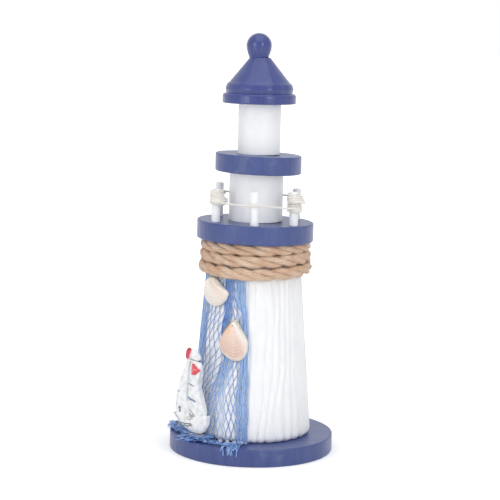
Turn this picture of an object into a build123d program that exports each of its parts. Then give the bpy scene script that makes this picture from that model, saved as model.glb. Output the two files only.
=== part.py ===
"""A wooden lighthouse ornament: turned and painted discs and drums on a tapered tower.

Millimetres, +Z up. The origin is the centre of the base's underside, and -Y is the front.
"""
from build123d import *
from math import atan2, cos, degrees, hypot, pi, radians, sin
import os

os.makedirs("parts", exist_ok=True)

# Turned wooden pieces, from the base upwards
base_diameter = 100
base_thickness = 10.5
tower_foot_diameter = 72.4
tower_top_diameter = 53.4
tower_height = 118.5
tower_foot_rounding = 2.5
gallery_diameter = 70.8
gallery_thickness = 11.2
lower_lantern_diameter = 32.6
lower_lantern_height = 29.3
upper_disc_diameter = 52
upper_disc_thickness = 10.9
upper_lantern_diameter = 25.8
upper_lantern_height = 30.3
disc_edge_rounding = 0.8

# Roof and finial, one above the other
roof_rim_diameter = 44.2
roof_rim_height = 6.2
roof_rim_rounding = 1.6
roof_shoulder_diameter = 40.4
roof_shoulder_height = 8.1
roof_slope_diameter = 35.2
roof_slope_height = 13.5
roof_neck_diameter = 12.4
finial_diameter = 15
finial_height = 13.9
finial_seat_diameter = 11.4
finial_waist_bulge = 0.6
finial_peg_diameter = 5
finial_peg_length = 8

# Dowels on the centre line and the screw under the base
tower_dowel_diameter = 8
tower_dowel_depth = 16
lantern_dowel_diameter = 6
lantern_dowel_depth = 10
roof_dowel_diameter = 5
roof_dowel_depth = 10
dowel_clearance = 0.1
dowel_end_gap = 0.2
dowel_chamfer = 0.2
screw_diameter = 4
screw_length = 38
screw_tip_length = 5
screw_head_diameter = 7.4
screw_head_recess = 0.6
screw_clearance = 0.15
screw_slot_width = 1
screw_slot_depth = 0.9

# Railing: six posts drilled in by hand, so their angles are uneven, and a string round them
post_diameter = 5.2
post_height = 20
post_depth = 5
post_top_rounding = 0.5
post_edge_distance = 6.4
post_clearance = 0.1
rail_string_diameter = 1.3
rail_string_clearance = 0.08
rail_wrap_gap = 1.3
rail_knot_diameter = 3.8
rail_knot_height = 4.6
rail_knot_rounding = 1.2
rail_posts = {
    # name: (angle round the gallery, share of the post's height where the string is, 1 up or -1 down)
    "back": (90, 0.67, 1),
    "back_left": (143, 0.7, -1),
    "front_left": (-146.5, 0.55, -1),
    "front": (-92, 0.59, 1),
    "front_right": (-40, 0.5, -1),
    "back_right": (33, 0.59, 1),
}

# Rope under the gallery
rope_diameter = 6.3
rope_turn_gap = 0.45
rope_turns = 2.75
rope_start_angle = 120
rope_clearance = 0.2

# Fishing net on the tower and on the base
net_thickness = 0.8
net_clearance = 0.1
net_left_angle = -178
net_right_angle = -93
net_rope_gap = 0.4
net_mesh_height = 12
net_mesh_width = 3
net_strand_width = 0.7
net_left_band = 9
net_middle_band_start = -126
net_middle_band_end = -113
net_right_band = 11
net_skirt_rim_distance = 4
net_skirt_left_angle = -188
net_skirt_meshes = 14
net_skirt_mesh_length = 3.6
net_glue_diameter = 2.6
net_glue_drops = 4
net_glue_first_angle = -118
net_glue_last_angle = -98

# Half shells, the umbo upwards. The shares shape their outline, of its width or its length
shell_umbo_share = 0.12
shell_belly_share = 0.12
shell_flank_share = 0.36
shell_upper_flank_share = 0.2
shell_lower_flank_share = 0.39
shell_section_rises = (0, 30, 60, 80)
shell_wall = 1
shell_clearance = 0.1
shell_glue_diameter = 5
shell_glue_taper = 20
shell_upper_length = 17
shell_upper_width = 17.4
shell_upper_crown = 5
shell_upper_angle = -137
shell_upper_drop = 6.3
shell_upper_tilt = 28
shell_lower_length = 25
shell_lower_width = 17.6
shell_lower_crown = 5.6
shell_lower_angle = -109.5
shell_lower_drop = 31.5
shell_lower_tilt = 4

# Cast boat, standing on its glue beside the tower. Across is measured along the boat from its middle,
# and the other places are heights over its keel
boat_turn = -30
boat_tower_gap = 0.3
boat_aside = -17.8
hull_length = 25.3
hull_beam = 7.6
hull_transom = 3.6
hull_depth = 10.8
hull_sheer = 1.8
hull_keel_across = 4.6
mast_across = -3
mast_diameter = 2.4
mast_height = 49.6
sail_thickness = 3.4
sail_edge_taper = 20
sail_foot = 8
mainsail_clew_across = 11.6
mainsail_clew = 12
mainsail_waist_across = 6.3
mainsail_waist = 24.7
mainsail_head_across = 4.4
mainsail_head = 43.4
foresail_tack_across = -12
foresail_tack = 12.4
foresail_belly_across = -10.6
foresail_belly = 25
foresail_head_across = -4.6
foresail_head = 44.4
flag_length = 9
flag_height = 5.6
flag_thickness = 2
pennant_length = 5.4
pennant_height = 7.6
pennant_across = 0
pennant_foot = 35.3
pennant_thickness = 0.9
boat_glue_thickness = 2.8
boat_glue_length = 10
boat_glue_width = 5
boat_glue_clearance = 0.05

# Levels of the stack
base_top = base_thickness
tower_top = base_top + tower_height
gallery_top = tower_top + gallery_thickness
lower_lantern_top = gallery_top + lower_lantern_height
upper_disc_top = lower_lantern_top + upper_disc_thickness
upper_lantern_top = upper_disc_top + upper_lantern_height
roof_rim_top = upper_lantern_top + roof_rim_height
roof_shoulder_top = roof_rim_top + roof_shoulder_height
roof_top = roof_shoulder_top + roof_slope_height

tower_taper = (tower_foot_diameter - tower_top_diameter) / 2 / tower_height
tower_lean = atan2(tower_taper, 1)
upright = (Align.CENTER, Align.CENTER, Align.MIN)


def tower_radius(height):
    """Radius of the tower's face at a height above the base's underside."""
    return tower_foot_diameter / 2 - tower_taper * (height - base_top)


def finish(builder, name):
    """Label a finished piece and write it."""
    builder.part.label = name
    export_step(builder.part, f"parts/{name}.step")


# Base disc, with a countersunk hole from below
screw_sink_diameter = screw_head_diameter + 2 * screw_head_recess + 2 * screw_clearance
with BuildPart() as base_disc:
    Cylinder(base_diameter / 2, base_thickness, align=upright)
    fillet(base_disc.edges(), disc_edge_rounding)
    with Locations(Location((0, 0, 0), (180, 0, 0))):
        CounterSinkHole(screw_diameter / 2 + screw_clearance, screw_sink_diameter / 2, base_thickness, 90)
finish(base_disc, "base_disc")

# Tapered tower, drilled for the screw below and the dowel above
screw_end = screw_head_recess + screw_length
with BuildPart() as tower_body:
    with Locations((0, 0, base_top)):
        Cone(tower_foot_diameter / 2, tower_top_diameter / 2, tower_height, align=upright)
    tower_rims = tower_body.edges().filter_by(GeomType.CIRCLE).sort_by(Axis.Z)
    fillet(tower_rims[0], tower_foot_rounding)
    fillet(tower_rims[-1], disc_edge_rounding)
    with Locations((0, 0, tower_top)):
        Hole(tower_dowel_diameter / 2 + dowel_clearance, tower_dowel_depth)
    with Locations(Location((0, 0, base_top), (180, 0, 0))):
        Hole(screw_diameter / 2 + screw_clearance, screw_end - base_top + dowel_end_gap)
finish(tower_body, "tower_body")

# Countersunk wood screw with a crossed slot
screw_shank_start = screw_head_recess + (screw_head_diameter - screw_diameter) / 2
with BuildPart() as base_screw:
    with BuildSketch(Plane.XZ):
        with BuildLine():
            Polyline(
                (0, screw_head_recess),
                (screw_head_diameter / 2, screw_head_recess),
                (screw_diameter / 2, screw_shank_start),
                (screw_diameter / 2, screw_end - screw_tip_length),
                (0, screw_end),
                close=True,
            )
        make_face()
    revolve(axis=Axis.Z)
    with BuildSketch(Plane.XY.offset(screw_head_recess)):
        Rectangle(screw_diameter, screw_slot_width)
        Rectangle(screw_slot_width, screw_diameter)
    extrude(amount=screw_slot_depth, mode=Mode.SUBTRACT)
finish(base_screw, "base_screw")

# Gallery disc, drilled through for the dowel and part way for the posts
post_ring = gallery_diameter / 2 - post_edge_distance
post_places = {
    name: Vector(post_ring * cos(radians(angle)), post_ring * sin(radians(angle)), 0)
    for name, (angle, _, _) in rail_posts.items()
}
with BuildPart() as gallery_disc:
    with Locations((0, 0, tower_top)):
        Cylinder(gallery_diameter / 2, gallery_thickness, align=upright)
    fillet(gallery_disc.edges(), disc_edge_rounding)
    with Locations((0, 0, gallery_top)):
        Hole(tower_dowel_diameter / 2 + dowel_clearance)
    with Locations(*[(place.X, place.Y, gallery_top) for place in post_places.values()]):
        Hole(post_diameter / 2 + post_clearance, post_depth)
finish(gallery_disc, "gallery_disc")

# Lower lantern drum, drilled at both ends
with BuildPart() as lower_lantern:
    with Locations((0, 0, gallery_top)):
        Cylinder(lower_lantern_diameter / 2, lower_lantern_height, align=upright)
    with Locations((0, 0, lower_lantern_top)):
        Hole(lantern_dowel_diameter / 2 + dowel_clearance, lantern_dowel_depth)
    with Locations(Location((0, 0, gallery_top), (180, 0, 0))):
        Hole(tower_dowel_diameter / 2 + dowel_clearance, lantern_dowel_depth + dowel_end_gap)
finish(lower_lantern, "lower_lantern")

# Upper disc, drilled through
with BuildPart() as upper_disc:
    with Locations((0, 0, lower_lantern_top)):
        Cylinder(upper_disc_diameter / 2, upper_disc_thickness, align=upright)
    fillet(upper_disc.edges(), disc_edge_rounding)
    with Locations((0, 0, upper_disc_top)):
        Hole(lantern_dowel_diameter / 2 + dowel_clearance)
finish(upper_disc, "upper_disc")

# Upper lantern drum, drilled at both ends
with BuildPart() as upper_lantern:
    with Locations((0, 0, upper_disc_top)):
        Cylinder(upper_lantern_diameter / 2, upper_lantern_height, align=upright)
    with Locations((0, 0, upper_lantern_top)):
        Hole(roof_dowel_diameter / 2 + dowel_clearance, roof_dowel_depth)
    with Locations(Location((0, 0, upper_disc_top), (180, 0, 0))):
        Hole(lantern_dowel_diameter / 2 + dowel_clearance, lantern_dowel_depth + dowel_end_gap)
finish(upper_lantern, "upper_lantern")

# Turned roof: a rounded rim, a stepped round shoulder and a straight slope up to the neck
with BuildPart() as roof_cap:
    with BuildSketch(Plane.XZ):
        with BuildLine():
            Polyline(
                (roof_shoulder_diameter / 2, roof_rim_top),
                (roof_rim_diameter / 2, roof_rim_top),
                (roof_rim_diameter / 2, upper_lantern_top),
                (0, upper_lantern_top),
                (0, roof_top),
                (roof_neck_diameter / 2, roof_top),
            )
            slope = Line((roof_neck_diameter / 2, roof_top), (roof_slope_diameter / 2, roof_shoulder_top))
            TangentArc(slope @ 1, (roof_shoulder_diameter / 2, roof_rim_top), tangent=slope % 1)
        make_face()
    revolve(axis=Axis.Z)
    roof_rim_edges = roof_cap.edges().filter_by(GeomType.CIRCLE).group_by(Axis.Z)[1]
    fillet(roof_rim_edges.sort_by(SortBy.RADIUS)[-1], roof_rim_rounding)
    with Locations((0, 0, roof_top)):
        Hole(finial_peg_diameter / 2 + dowel_clearance, finial_peg_length + dowel_end_gap)
    with Locations(Location((0, 0, upper_lantern_top), (180, 0, 0))):
        Hole(roof_dowel_diameter / 2 + dowel_clearance, roof_dowel_depth + dowel_end_gap)
finish(roof_cap, "roof_cap")

# Turned finial ball with its peg
finial_centre = roof_top + finial_height - finial_diameter / 2
finial_seat = (finial_seat_diameter / 2, roof_top)
finial_side = (finial_diameter / 2, finial_centre)
finial_top = (0, roof_top + finial_height)
finial_waist = (
    (finial_seat[0] + finial_side[0]) / 2 + finial_waist_bulge,
    (finial_seat[1] + finial_side[1]) / 2,
)
with BuildPart() as finial_ball:
    with BuildSketch(Plane.XZ):
        with BuildLine():
            Line((0, roof_top), finial_seat)
            ThreePointArc(finial_seat, finial_waist, finial_side)
            RadiusArc(finial_side, finial_top, -finial_diameter / 2)
            Line(finial_top, (0, roof_top))
        make_face()
    revolve(axis=Axis.Z)
    with Locations((0, 0, roof_top - finial_peg_length)):
        Cylinder(finial_peg_diameter / 2, finial_peg_length, align=upright)
finish(finial_ball, "finial_ball")

# Dowels on the centre line: name, diameter, lower end and upper end
dowels = (
    ("tower_dowel", tower_dowel_diameter, tower_top - tower_dowel_depth, gallery_top + lantern_dowel_depth),
    (
        "lantern_dowel",
        lantern_dowel_diameter,
        lower_lantern_top - lantern_dowel_depth,
        upper_disc_top + lantern_dowel_depth,
    ),
    (
        "roof_dowel",
        roof_dowel_diameter,
        upper_lantern_top - roof_dowel_depth,
        upper_lantern_top + roof_dowel_depth,
    ),
)
for name, diameter, lower_end, upper_end in dowels:
    with BuildPart() as dowel:
        with Locations((0, 0, lower_end)):
            Cylinder(diameter / 2, upper_end - lower_end, align=upright)
        chamfer(dowel.edges().filter_by(GeomType.CIRCLE), dowel_chamfer)
    finish(dowel, name)

# Railing posts, standing in their holes
for name, place in post_places.items():
    with BuildPart() as rail_post:
        with Locations((place.X, place.Y, gallery_top - post_depth)):
            Cylinder(post_diameter / 2, post_depth + post_height, align=upright)
        fillet(rail_post.edges().filter_by(GeomType.CIRCLE).sort_by(Axis.Z)[-1], post_top_rounding)
    finish(rail_post, f"rail_post_{name}")


def add_winding(stations):
    """Join stations, each a point with its direction, by pairs of tangent arcs."""
    for (start, start_way), (end, end_way) in zip(stations, stations[1:]):
        chord = end - start
        way = start_way + end_way
        bend = 4 - way.dot(way)
        along = chord.dot(way)
        reach = (-along + (along**2 + bend * chord.dot(chord)) ** 0.5) / bend
        corner_1 = start + start_way * reach
        corner_2 = end - end_way * reach
        joint = (corner_1 + corner_2) * 0.5
        TangentArc(start, joint, tangent=start_way)
        TangentArc(joint, end, tangent=corner_2 - corner_1)


def least_gap(wire, diameter, loop_length):
    """Least gap between parts of a tube that are at least half a loop apart along it."""
    count = int(wire.length / diameter * 3)
    points = [wire.position_at(index / count) for index in range(count + 1)]
    apart = int(loop_length / 2 / wire.length * count)
    gaps = [
        (points[later] - points[sooner]).length
        for sooner in range(len(points))
        for later in range(sooner + apart, len(points))
    ]
    return min(gaps) - diameter


def print_tube(name, builder, path, diameter, loop_length):
    """Print a tube's measures: its volume beside section times length, and its gap to itself."""
    wire = path.wire()
    ideal = pi * diameter**2 / 4 * wire.length
    gap = least_gap(wire, diameter, loop_length)
    print(f"{name}: length {wire.length:.1f}, least gap {gap:.2f}")
    print(f"{name}: volume {builder.part.volume:.1f}, section times length {ideal:.1f}")


# Rope: one unbroken tube wound upwards round the tower, each end straight for one diameter
rope_pitch = rope_diameter + rope_turn_gap
rope_loop = 2 * pi * (tower_top_diameter / 2 + rope_diameter / 2)
rope_slope = rope_pitch / rope_loop
rope_end_height = tower_top - rope_diameter / 2 - rope_clearance - rope_slope * rope_diameter
rope_start_height = rope_end_height - rope_turns * rope_pitch


def rope_station(turn):
    """Point and direction of the rope's centre line after a number of turns."""
    height = rope_start_height + rope_pitch * turn
    radius = tower_radius(height) + rope_diameter / 2 + rope_clearance
    angle = radians(rope_start_angle) + 2 * pi * turn
    narrowing = tower_taper * rope_pitch
    way = Vector(
        -2 * pi * radius * sin(angle) - narrowing * cos(angle),
        2 * pi * radius * cos(angle) - narrowing * sin(angle),
        rope_pitch,
    )
    return Vector(radius * cos(angle), radius * sin(angle), height), way.normalized()


rope_quarters = round(4 * rope_turns)
rope_stations = [rope_station(rope_turns * quarter / rope_quarters) for quarter in range(rope_quarters + 1)]
rope_start, rope_start_way = rope_stations[0]
rope_end, rope_end_way = rope_stations[-1]
with BuildPart() as rope_wrap:
    with BuildLine() as rope_path:
        Line(rope_start - rope_start_way * rope_diameter, rope_start)
        add_winding(rope_stations)
        Line(rope_end, rope_end + rope_end_way * rope_diameter)
    with BuildSketch(Plane(rope_start - rope_start_way * rope_diameter, z_dir=rope_start_way)):
        Circle(rope_diameter / 2)
    sweep(path=rope_path.wire())
print_tube("rope_wrap", rope_wrap, rope_path, rope_diameter, rope_loop)
finish(rope_wrap, "rope_wrap")

# Railing string: one full turn round each post, from the knot on the back post round to the knot again
rail_wrap_rise = rail_string_diameter + rail_wrap_gap
wrap_radius = post_diameter / 2 + rail_string_diameter / 2 + rail_string_clearance
wrap_loop = 2 * pi * wrap_radius
post_names = list(rail_posts)
post_round = post_names + post_names[:1]


def span_angle(name, next_name):
    """Angle round a post at which the string leaves it on the outside for the next post."""
    way = post_places[next_name] - post_places[name]
    return degrees(atan2(way.Y, way.X)) - 90


def string_wraps():
    """Each wrap as (post, first angle, last angle, first height, last height)."""
    knot_angle, knot_share, _ = rail_posts["back"]
    knot_height = knot_share * post_height
    half_rise = rail_wrap_rise / 2
    turn = (span_angle(post_round[0], post_round[1]) - knot_angle) % 360 + 360
    upper_end = knot_height + half_rise
    wraps = [("back", knot_angle, knot_angle + turn, upper_end, upper_end + rail_wrap_rise)]
    for before, name, after in zip(post_round, post_round[1:], post_round[2:]):
        _, string_share, climb = rail_posts[name]
        middle = string_share * post_height
        entry = span_angle(before, name)
        turn = (span_angle(name, after) - entry) % 360 + 360
        wraps.append((name, entry, entry + turn, middle - climb * half_rise, middle + climb * half_rise))
    entry = span_angle(post_round[-2], "back")
    turn = (knot_angle - entry) % 360 + 360
    lower_end = knot_height - half_rise
    wraps.append(("back", entry, entry + turn, lower_end - rail_wrap_rise, lower_end))
    return wraps


def wrap_point(name, angle, height):
    """Point on the string's centre line round a post."""
    reach = Vector(cos(radians(angle)), sin(radians(angle)), 0) * wrap_radius
    return post_places[name] + reach + Vector(0, 0, gallery_top + height)


def wrap_stations(wrap, slope_in, slope_out):
    """Stations round one post, with the slopes of the spans at its two ends."""
    name, first, last, low, high = wrap
    steps = round((last - first) / 60)
    length = radians(last - first) * wrap_radius
    stations = []
    for step in range(steps + 1):
        share = step / steps
        angle = first + (last - first) * share
        height = (
            low * (2 * share**3 - 3 * share**2 + 1)
            + high * (3 * share**2 - 2 * share**3)
            + length * slope_in * (share**3 - 2 * share**2 + share)
            + length * slope_out * (share**3 - share**2)
        )
        slope = (
            (high - low) / length * (6 * share - 6 * share**2)
            + slope_in * (3 * share**2 - 4 * share + 1)
            + slope_out * (3 * share**2 - 2 * share)
        )
        way = Vector(-sin(radians(angle)), cos(radians(angle)), slope)
        stations.append((wrap_point(name, angle, height), way.normalized()))
    return stations


string_turns = string_wraps()
span_slopes = [0]
for wrap, next_wrap in zip(string_turns, string_turns[1:]):
    name, _, leave, _, height = wrap
    next_name, arrive, _, next_height, _ = next_wrap
    span = wrap_point(next_name, arrive, next_height) - wrap_point(name, leave, height)
    span_slopes.append(span.Z / hypot(span.X, span.Y))
span_slopes.append(0)
string_stations = [
    wrap_stations(wrap, slope_in, slope_out)
    for wrap, slope_in, slope_out in zip(string_turns, span_slopes, span_slopes[1:])
]
string_start, string_start_way = string_stations[0][0]
with BuildPart() as rail_cord:
    with BuildLine() as string_path:
        for stations, next_stations in zip(string_stations, string_stations[1:]):
            add_winding(stations)
            Line(stations[-1][0], next_stations[0][0])
        add_winding(string_stations[-1])
    with BuildSketch(Plane(string_start, z_dir=string_start_way)):
        Circle(rail_string_diameter / 2)
    sweep(path=string_path.wire())
print_tube("rail_cord", rail_cord, string_path, rail_string_diameter, wrap_loop)
finish(rail_cord, "rail_cord")

# Knot over the two ends of the string, moulded round the string and the post
knot_place = wrap_point("back", rail_posts["back"][0], rail_posts["back"][1] * post_height)
with BuildPart() as rail_cord_knot:
    with Locations(Location(knot_place, (0, 0, rail_posts["back"][0]))):
        Cylinder(rail_knot_diameter / 2, rail_knot_height)
    fillet(rail_cord_knot.edges().filter_by(GeomType.CIRCLE), rail_knot_rounding)
    add(rail_cord.part, mode=Mode.SUBTRACT)
    with Locations((post_places["back"].X, post_places["back"].Y, gallery_top)):
        Cylinder(post_diameter / 2 + rail_string_clearance, post_height, align=upright, mode=Mode.SUBTRACT)
finish(rail_cord_knot, "rail_cord_knot")

# Fishing net: one thin holed sheet down the tower, with a skirt on the base
net_inner_gap = net_clearance / cos(tower_lean)
net_foot = base_top + net_clearance
net_top = rope_start_height - rope_diameter / 2 - net_rope_gap
net_outer_gap = net_inner_gap + net_thickness / cos(tower_lean)
net_skirt_inner = tower_radius(net_foot) + net_inner_gap
net_skirt_outer = base_diameter / 2 - net_skirt_rim_distance


def net_profile(angle, points):
    """Face through (radius, height) points, standing at an angle round the tower."""
    way = Vector(cos(radians(angle)), sin(radians(angle)), 0)
    with BuildSketch(Plane((0, 0, 0), x_dir=way, z_dir=way.cross(Vector(0, 0, 1)))) as profile:
        with BuildLine():
            Polyline(*points, close=True)
        make_face()
    return profile.sketch


def in_gathered_band(angle):
    """True where the net is drawn together and shows no open mesh."""
    return (
        angle < net_left_angle + net_left_band
        or net_middle_band_start < angle < net_middle_band_end
        or angle > net_right_angle - net_right_band
    )


net_columns = round(radians(net_right_angle - net_left_angle) * tower_top_diameter / 2 / net_mesh_width)
net_rows = int((net_top - net_foot) / net_mesh_height * 2) - 1
net_column_angle = (net_right_angle - net_left_angle) / net_columns
net_gap_share = 1 - net_strand_width / net_mesh_width
net_gaps = 0
with BuildPart() as fishing_net:
    drape_points = (
        (tower_radius(net_foot) + net_inner_gap, net_foot),
        (tower_radius(net_foot) + net_outer_gap, net_foot),
        (tower_radius(net_top) + net_outer_gap, net_top),
        (tower_radius(net_top) + net_inner_gap, net_top),
    )
    skirt_points = (
        (net_skirt_inner, net_foot),
        (net_skirt_outer, net_foot),
        (net_skirt_outer, net_foot + net_thickness),
        (net_skirt_inner, net_foot + net_thickness),
    )
    drape_profile = net_profile(net_left_angle, drape_points)
    skirt_profile = net_profile(net_skirt_left_angle, skirt_points)
    revolve(drape_profile, axis=Axis.Z, revolution_arc=net_right_angle - net_left_angle)
    revolve(skirt_profile, axis=Axis.Z, revolution_arc=net_right_angle - net_skirt_left_angle)
    for row in range(net_rows):
        height = net_foot + net_mesh_height * (row + 2) / 2
        gap_width = radians(net_column_angle) * tower_radius(height) * net_gap_share
        first_angle = net_left_angle + net_column_angle * (row % 2 + 1) / 2
        angles = [first_angle + net_column_angle * column for column in range(net_columns)]
        angles = [angle for angle in angles if not in_gathered_band(angle)]
        faces = [
            Plane(
                (0, 0, height),
                x_dir=(-sin(radians(angle)), cos(radians(angle)), 0),
                z_dir=(cos(radians(angle)), sin(radians(angle)), 0),
            )
            for angle in angles
        ]
        with BuildSketch(*faces):
            with BuildLine():
                Polyline(
                    (0, -net_mesh_height * net_gap_share / 2),
                    (gap_width / 2, 0),
                    (0, net_mesh_height * net_gap_share / 2),
                    (-gap_width / 2, 0),
                    close=True,
                )
            make_face()
        extrude(amount=tower_foot_diameter, mode=Mode.SUBTRACT)
        net_gaps += len(angles)
    net_skirt_middle = (net_skirt_inner + net_thickness + net_skirt_outer) / 2
    net_skirt_step = (net_right_angle - net_skirt_left_angle) / net_skirt_meshes
    with BuildSketch(Plane.XY.offset(net_foot)):
        with PolarLocations(
            net_skirt_middle,
            net_skirt_meshes,
            start_angle=net_skirt_left_angle + net_skirt_step / 2,
            angular_range=net_right_angle - net_skirt_left_angle,
        ):
            RegularPolygon(net_skirt_mesh_length / 2, 4)
    extrude(amount=net_thickness, mode=Mode.SUBTRACT)
    net_gaps += net_skirt_meshes
print(f"fishing_net: {net_gaps} gaps")
finish(fishing_net, "fishing_net")

# Drops of glue on the skirt, along the foot of the net
net_skirt_top = net_foot + net_thickness
net_glue_ring = net_skirt_inner + net_thickness + net_glue_diameter / 2 + net_clearance
with BuildPart() as net_glue:
    with Locations((0, 0, net_skirt_top)):
        with PolarLocations(
            net_glue_ring,
            net_glue_drops,
            start_angle=net_glue_first_angle,
            angular_range=net_glue_last_angle - net_glue_first_angle,
            endpoint=True,
        ):
            Sphere(net_glue_diameter / 2, arc_size1=0, align=upright)
finish(net_glue, "net_glue")


def net_face(angle, height, tilt):
    """Plane that lies on the net's outer face, its y axis up the tower and then tilted in the face."""
    outward = Vector(cos(radians(angle)), sin(radians(angle)), 0)
    place = outward * (tower_radius(height) + net_outer_gap) + Vector(0, 0, height)
    square = outward + Vector(0, 0, tower_taper)
    across = Vector(-outward.Y, outward.X, 0).rotate(Axis((0, 0, 0), square), tilt)
    return Plane(place, x_dir=across, z_dir=square)


def shell_section(face, length, width):
    """Outline of a half shell: a wide round margin that narrows to the umbo."""
    umbo = shell_umbo_share * width
    shoulder = length / 2 - umbo
    belly = -shell_belly_share * length
    flank = shell_flank_share * width
    upper_flank = shell_upper_flank_share * length
    lower_flank = -shell_lower_flank_share * length
    with BuildSketch(face) as section:
        with BuildLine():
            ThreePointArc((-umbo, shoulder), (0, length / 2), (umbo, shoulder))
            ThreePointArc((umbo, shoulder), (flank, upper_flank), (width / 2, belly))
            ThreePointArc((width / 2, belly), (flank, lower_flank), (0, -length / 2))
            ThreePointArc((0, -length / 2), (-flank, lower_flank), (-width / 2, belly))
            ThreePointArc((-width / 2, belly), (-flank, upper_flank), (-umbo, shoulder))
        make_face()
    return section.sketch


def shell_sections(face, length, width, crown):
    """Outlines that close up over the crown of the shell."""
    sections = []
    for rise in shell_section_rises:
        narrowing = cos(radians(rise))
        level = face.offset(crown * sin(radians(rise)))
        sections.append(shell_section(level, length * narrowing, width * narrowing))
    return sections


shells = (
    (
        "shell_upper",
        net_face(shell_upper_angle, net_top - shell_upper_drop, shell_upper_tilt),
        shell_upper_length,
        shell_upper_width,
        shell_upper_crown,
    ),
    (
        "shell_lower",
        net_face(shell_lower_angle, net_top - shell_lower_drop, shell_lower_tilt),
        shell_lower_length,
        shell_lower_width,
        shell_lower_crown,
    ),
)
for name, face, length, width, crown in shells:
    seat = face.offset(shell_clearance)
    hollow = crown - shell_wall
    outside = shell_sections(seat, length, width, crown)
    inside = shell_sections(seat, length - 2 * shell_wall, width - 2 * shell_wall, hollow)
    with BuildPart() as half_shell:
        loft(outside)
        loft(inside, mode=Mode.SUBTRACT)
    finish(half_shell, name)
    with BuildPart() as shell_glue:
        with BuildSketch(seat):
            Circle(shell_glue_diameter / 2)
        extrude(amount=hollow - shell_clearance, taper=shell_glue_taper)
    finish(shell_glue, f"{name}_glue")

# Cast boat in one piece: hull, mast, two sails, a flag and a raised pennant
boat_way = Vector(cos(radians(boat_turn)), sin(radians(boat_turn)), 0)
boat_keel = net_skirt_top + boat_glue_thickness
boat_outward = boat_way.cross(Vector(0, 0, 1))
boat_reach = tower_radius(net_foot) + net_outer_gap + boat_tower_gap + hull_beam / 2
boat_place = boat_outward * boat_reach + boat_way * boat_aside + Vector(0, 0, boat_keel)
boat_side = Plane(boat_place, x_dir=boat_way, z_dir=boat_outward)
boat_plan = Plane(boat_place, x_dir=boat_way, z_dir=(0, 0, 1))
bow = (-hull_length / 2, hull_depth)
stern = (hull_length / 2, hull_depth)
keel = (hull_keel_across, 0)
transom = (stern[0] + hull_transom / 2, hull_transom / 2)
with BuildPart() as boat:
    with BuildSketch(boat_side):
        with BuildLine():
            ThreePointArc(stern, (0, hull_depth - hull_sheer), bow)
            TangentArc(keel, bow, tangent=(-1, 0))
            TangentArc(keel, stern, tangent=(1, 0))
        make_face()
    extrude(amount=hull_beam / 2, both=True)
    with BuildSketch(boat_plan):
        with BuildLine():
            hull_rail = ThreePointArc((bow[0], 0), (0, hull_beam / 2), transom)
            mirror(hull_rail, about=Plane.XZ)
            Line(transom, (transom[0], -transom[1]))
        make_face()
    extrude(amount=2 * hull_depth, mode=Mode.INTERSECT)
    with Locations(boat_plan * Location((mast_across, 0, sail_foot))):
        Cylinder(mast_diameter / 2, mast_height - sail_foot, align=upright)
    with BuildSketch(boat_side):
        with BuildLine():
            Polyline(
                (mainsail_head_across, mainsail_head),
                (mast_across, mainsail_head),
                (mast_across, sail_foot),
                (mainsail_clew_across, mainsail_clew),
            )
            ThreePointArc(
                (mainsail_clew_across, mainsail_clew),
                (mainsail_waist_across, mainsail_waist),
                (mainsail_head_across, mainsail_head),
            )
        make_face()
        with BuildLine():
            Polyline(
                (foresail_head_across, foresail_head),
                (mast_across, foresail_head),
                (mast_across, sail_foot),
                (foresail_tack_across, foresail_tack),
            )
            ThreePointArc(
                (foresail_tack_across, foresail_tack),
                (foresail_belly_across, foresail_belly),
                (foresail_head_across, foresail_head),
            )
        make_face()
    extrude(amount=sail_thickness / 2, both=True, taper=sail_edge_taper)
    with BuildSketch(boat_side):
        with Locations((mast_across, mast_height - flag_height / 2)):
            Rectangle(flag_length, flag_height, align=(Align.MIN, Align.CENTER))
    extrude(amount=flag_thickness / 2, both=True)
    with BuildSketch(boat_side.offset(sail_thickness / 2)):
        with BuildLine():
            Polyline(
                (pennant_across, pennant_foot),
                (pennant_across + pennant_length, pennant_foot + pennant_height / 2),
                (pennant_across, pennant_foot + pennant_height),
                close=True,
            )
        make_face()
    extrude(amount=pennant_thickness)
finish(boat, "boat")

# Glue between the boat's keel and the net
with BuildPart() as boat_glue:
    with BuildSketch(boat_plan.offset(-boat_glue_thickness)):
        with Locations((hull_keel_across, 0)):
            SlotOverall(boat_glue_length, boat_glue_width)
    extrude(amount=boat_glue_thickness - boat_glue_clearance)
finish(boat_glue, "boat_glue")
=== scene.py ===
# %% [markdown]
# # A wooden lighthouse ornament
#
# The ornament is a stack of turned, painted wooden pieces. A rope is wound under the gallery, a string
# runs round its posts, and a fishing net, two shells and a cast boat are glued to the tower and the base.
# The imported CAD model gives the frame: this script imports it first and builds the looks around it.
# Most meshes are worked out with numpy. A formula for each point gives ridges, twists and unevenness that
# are real shapes from every side, and the same ones in every run.

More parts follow.
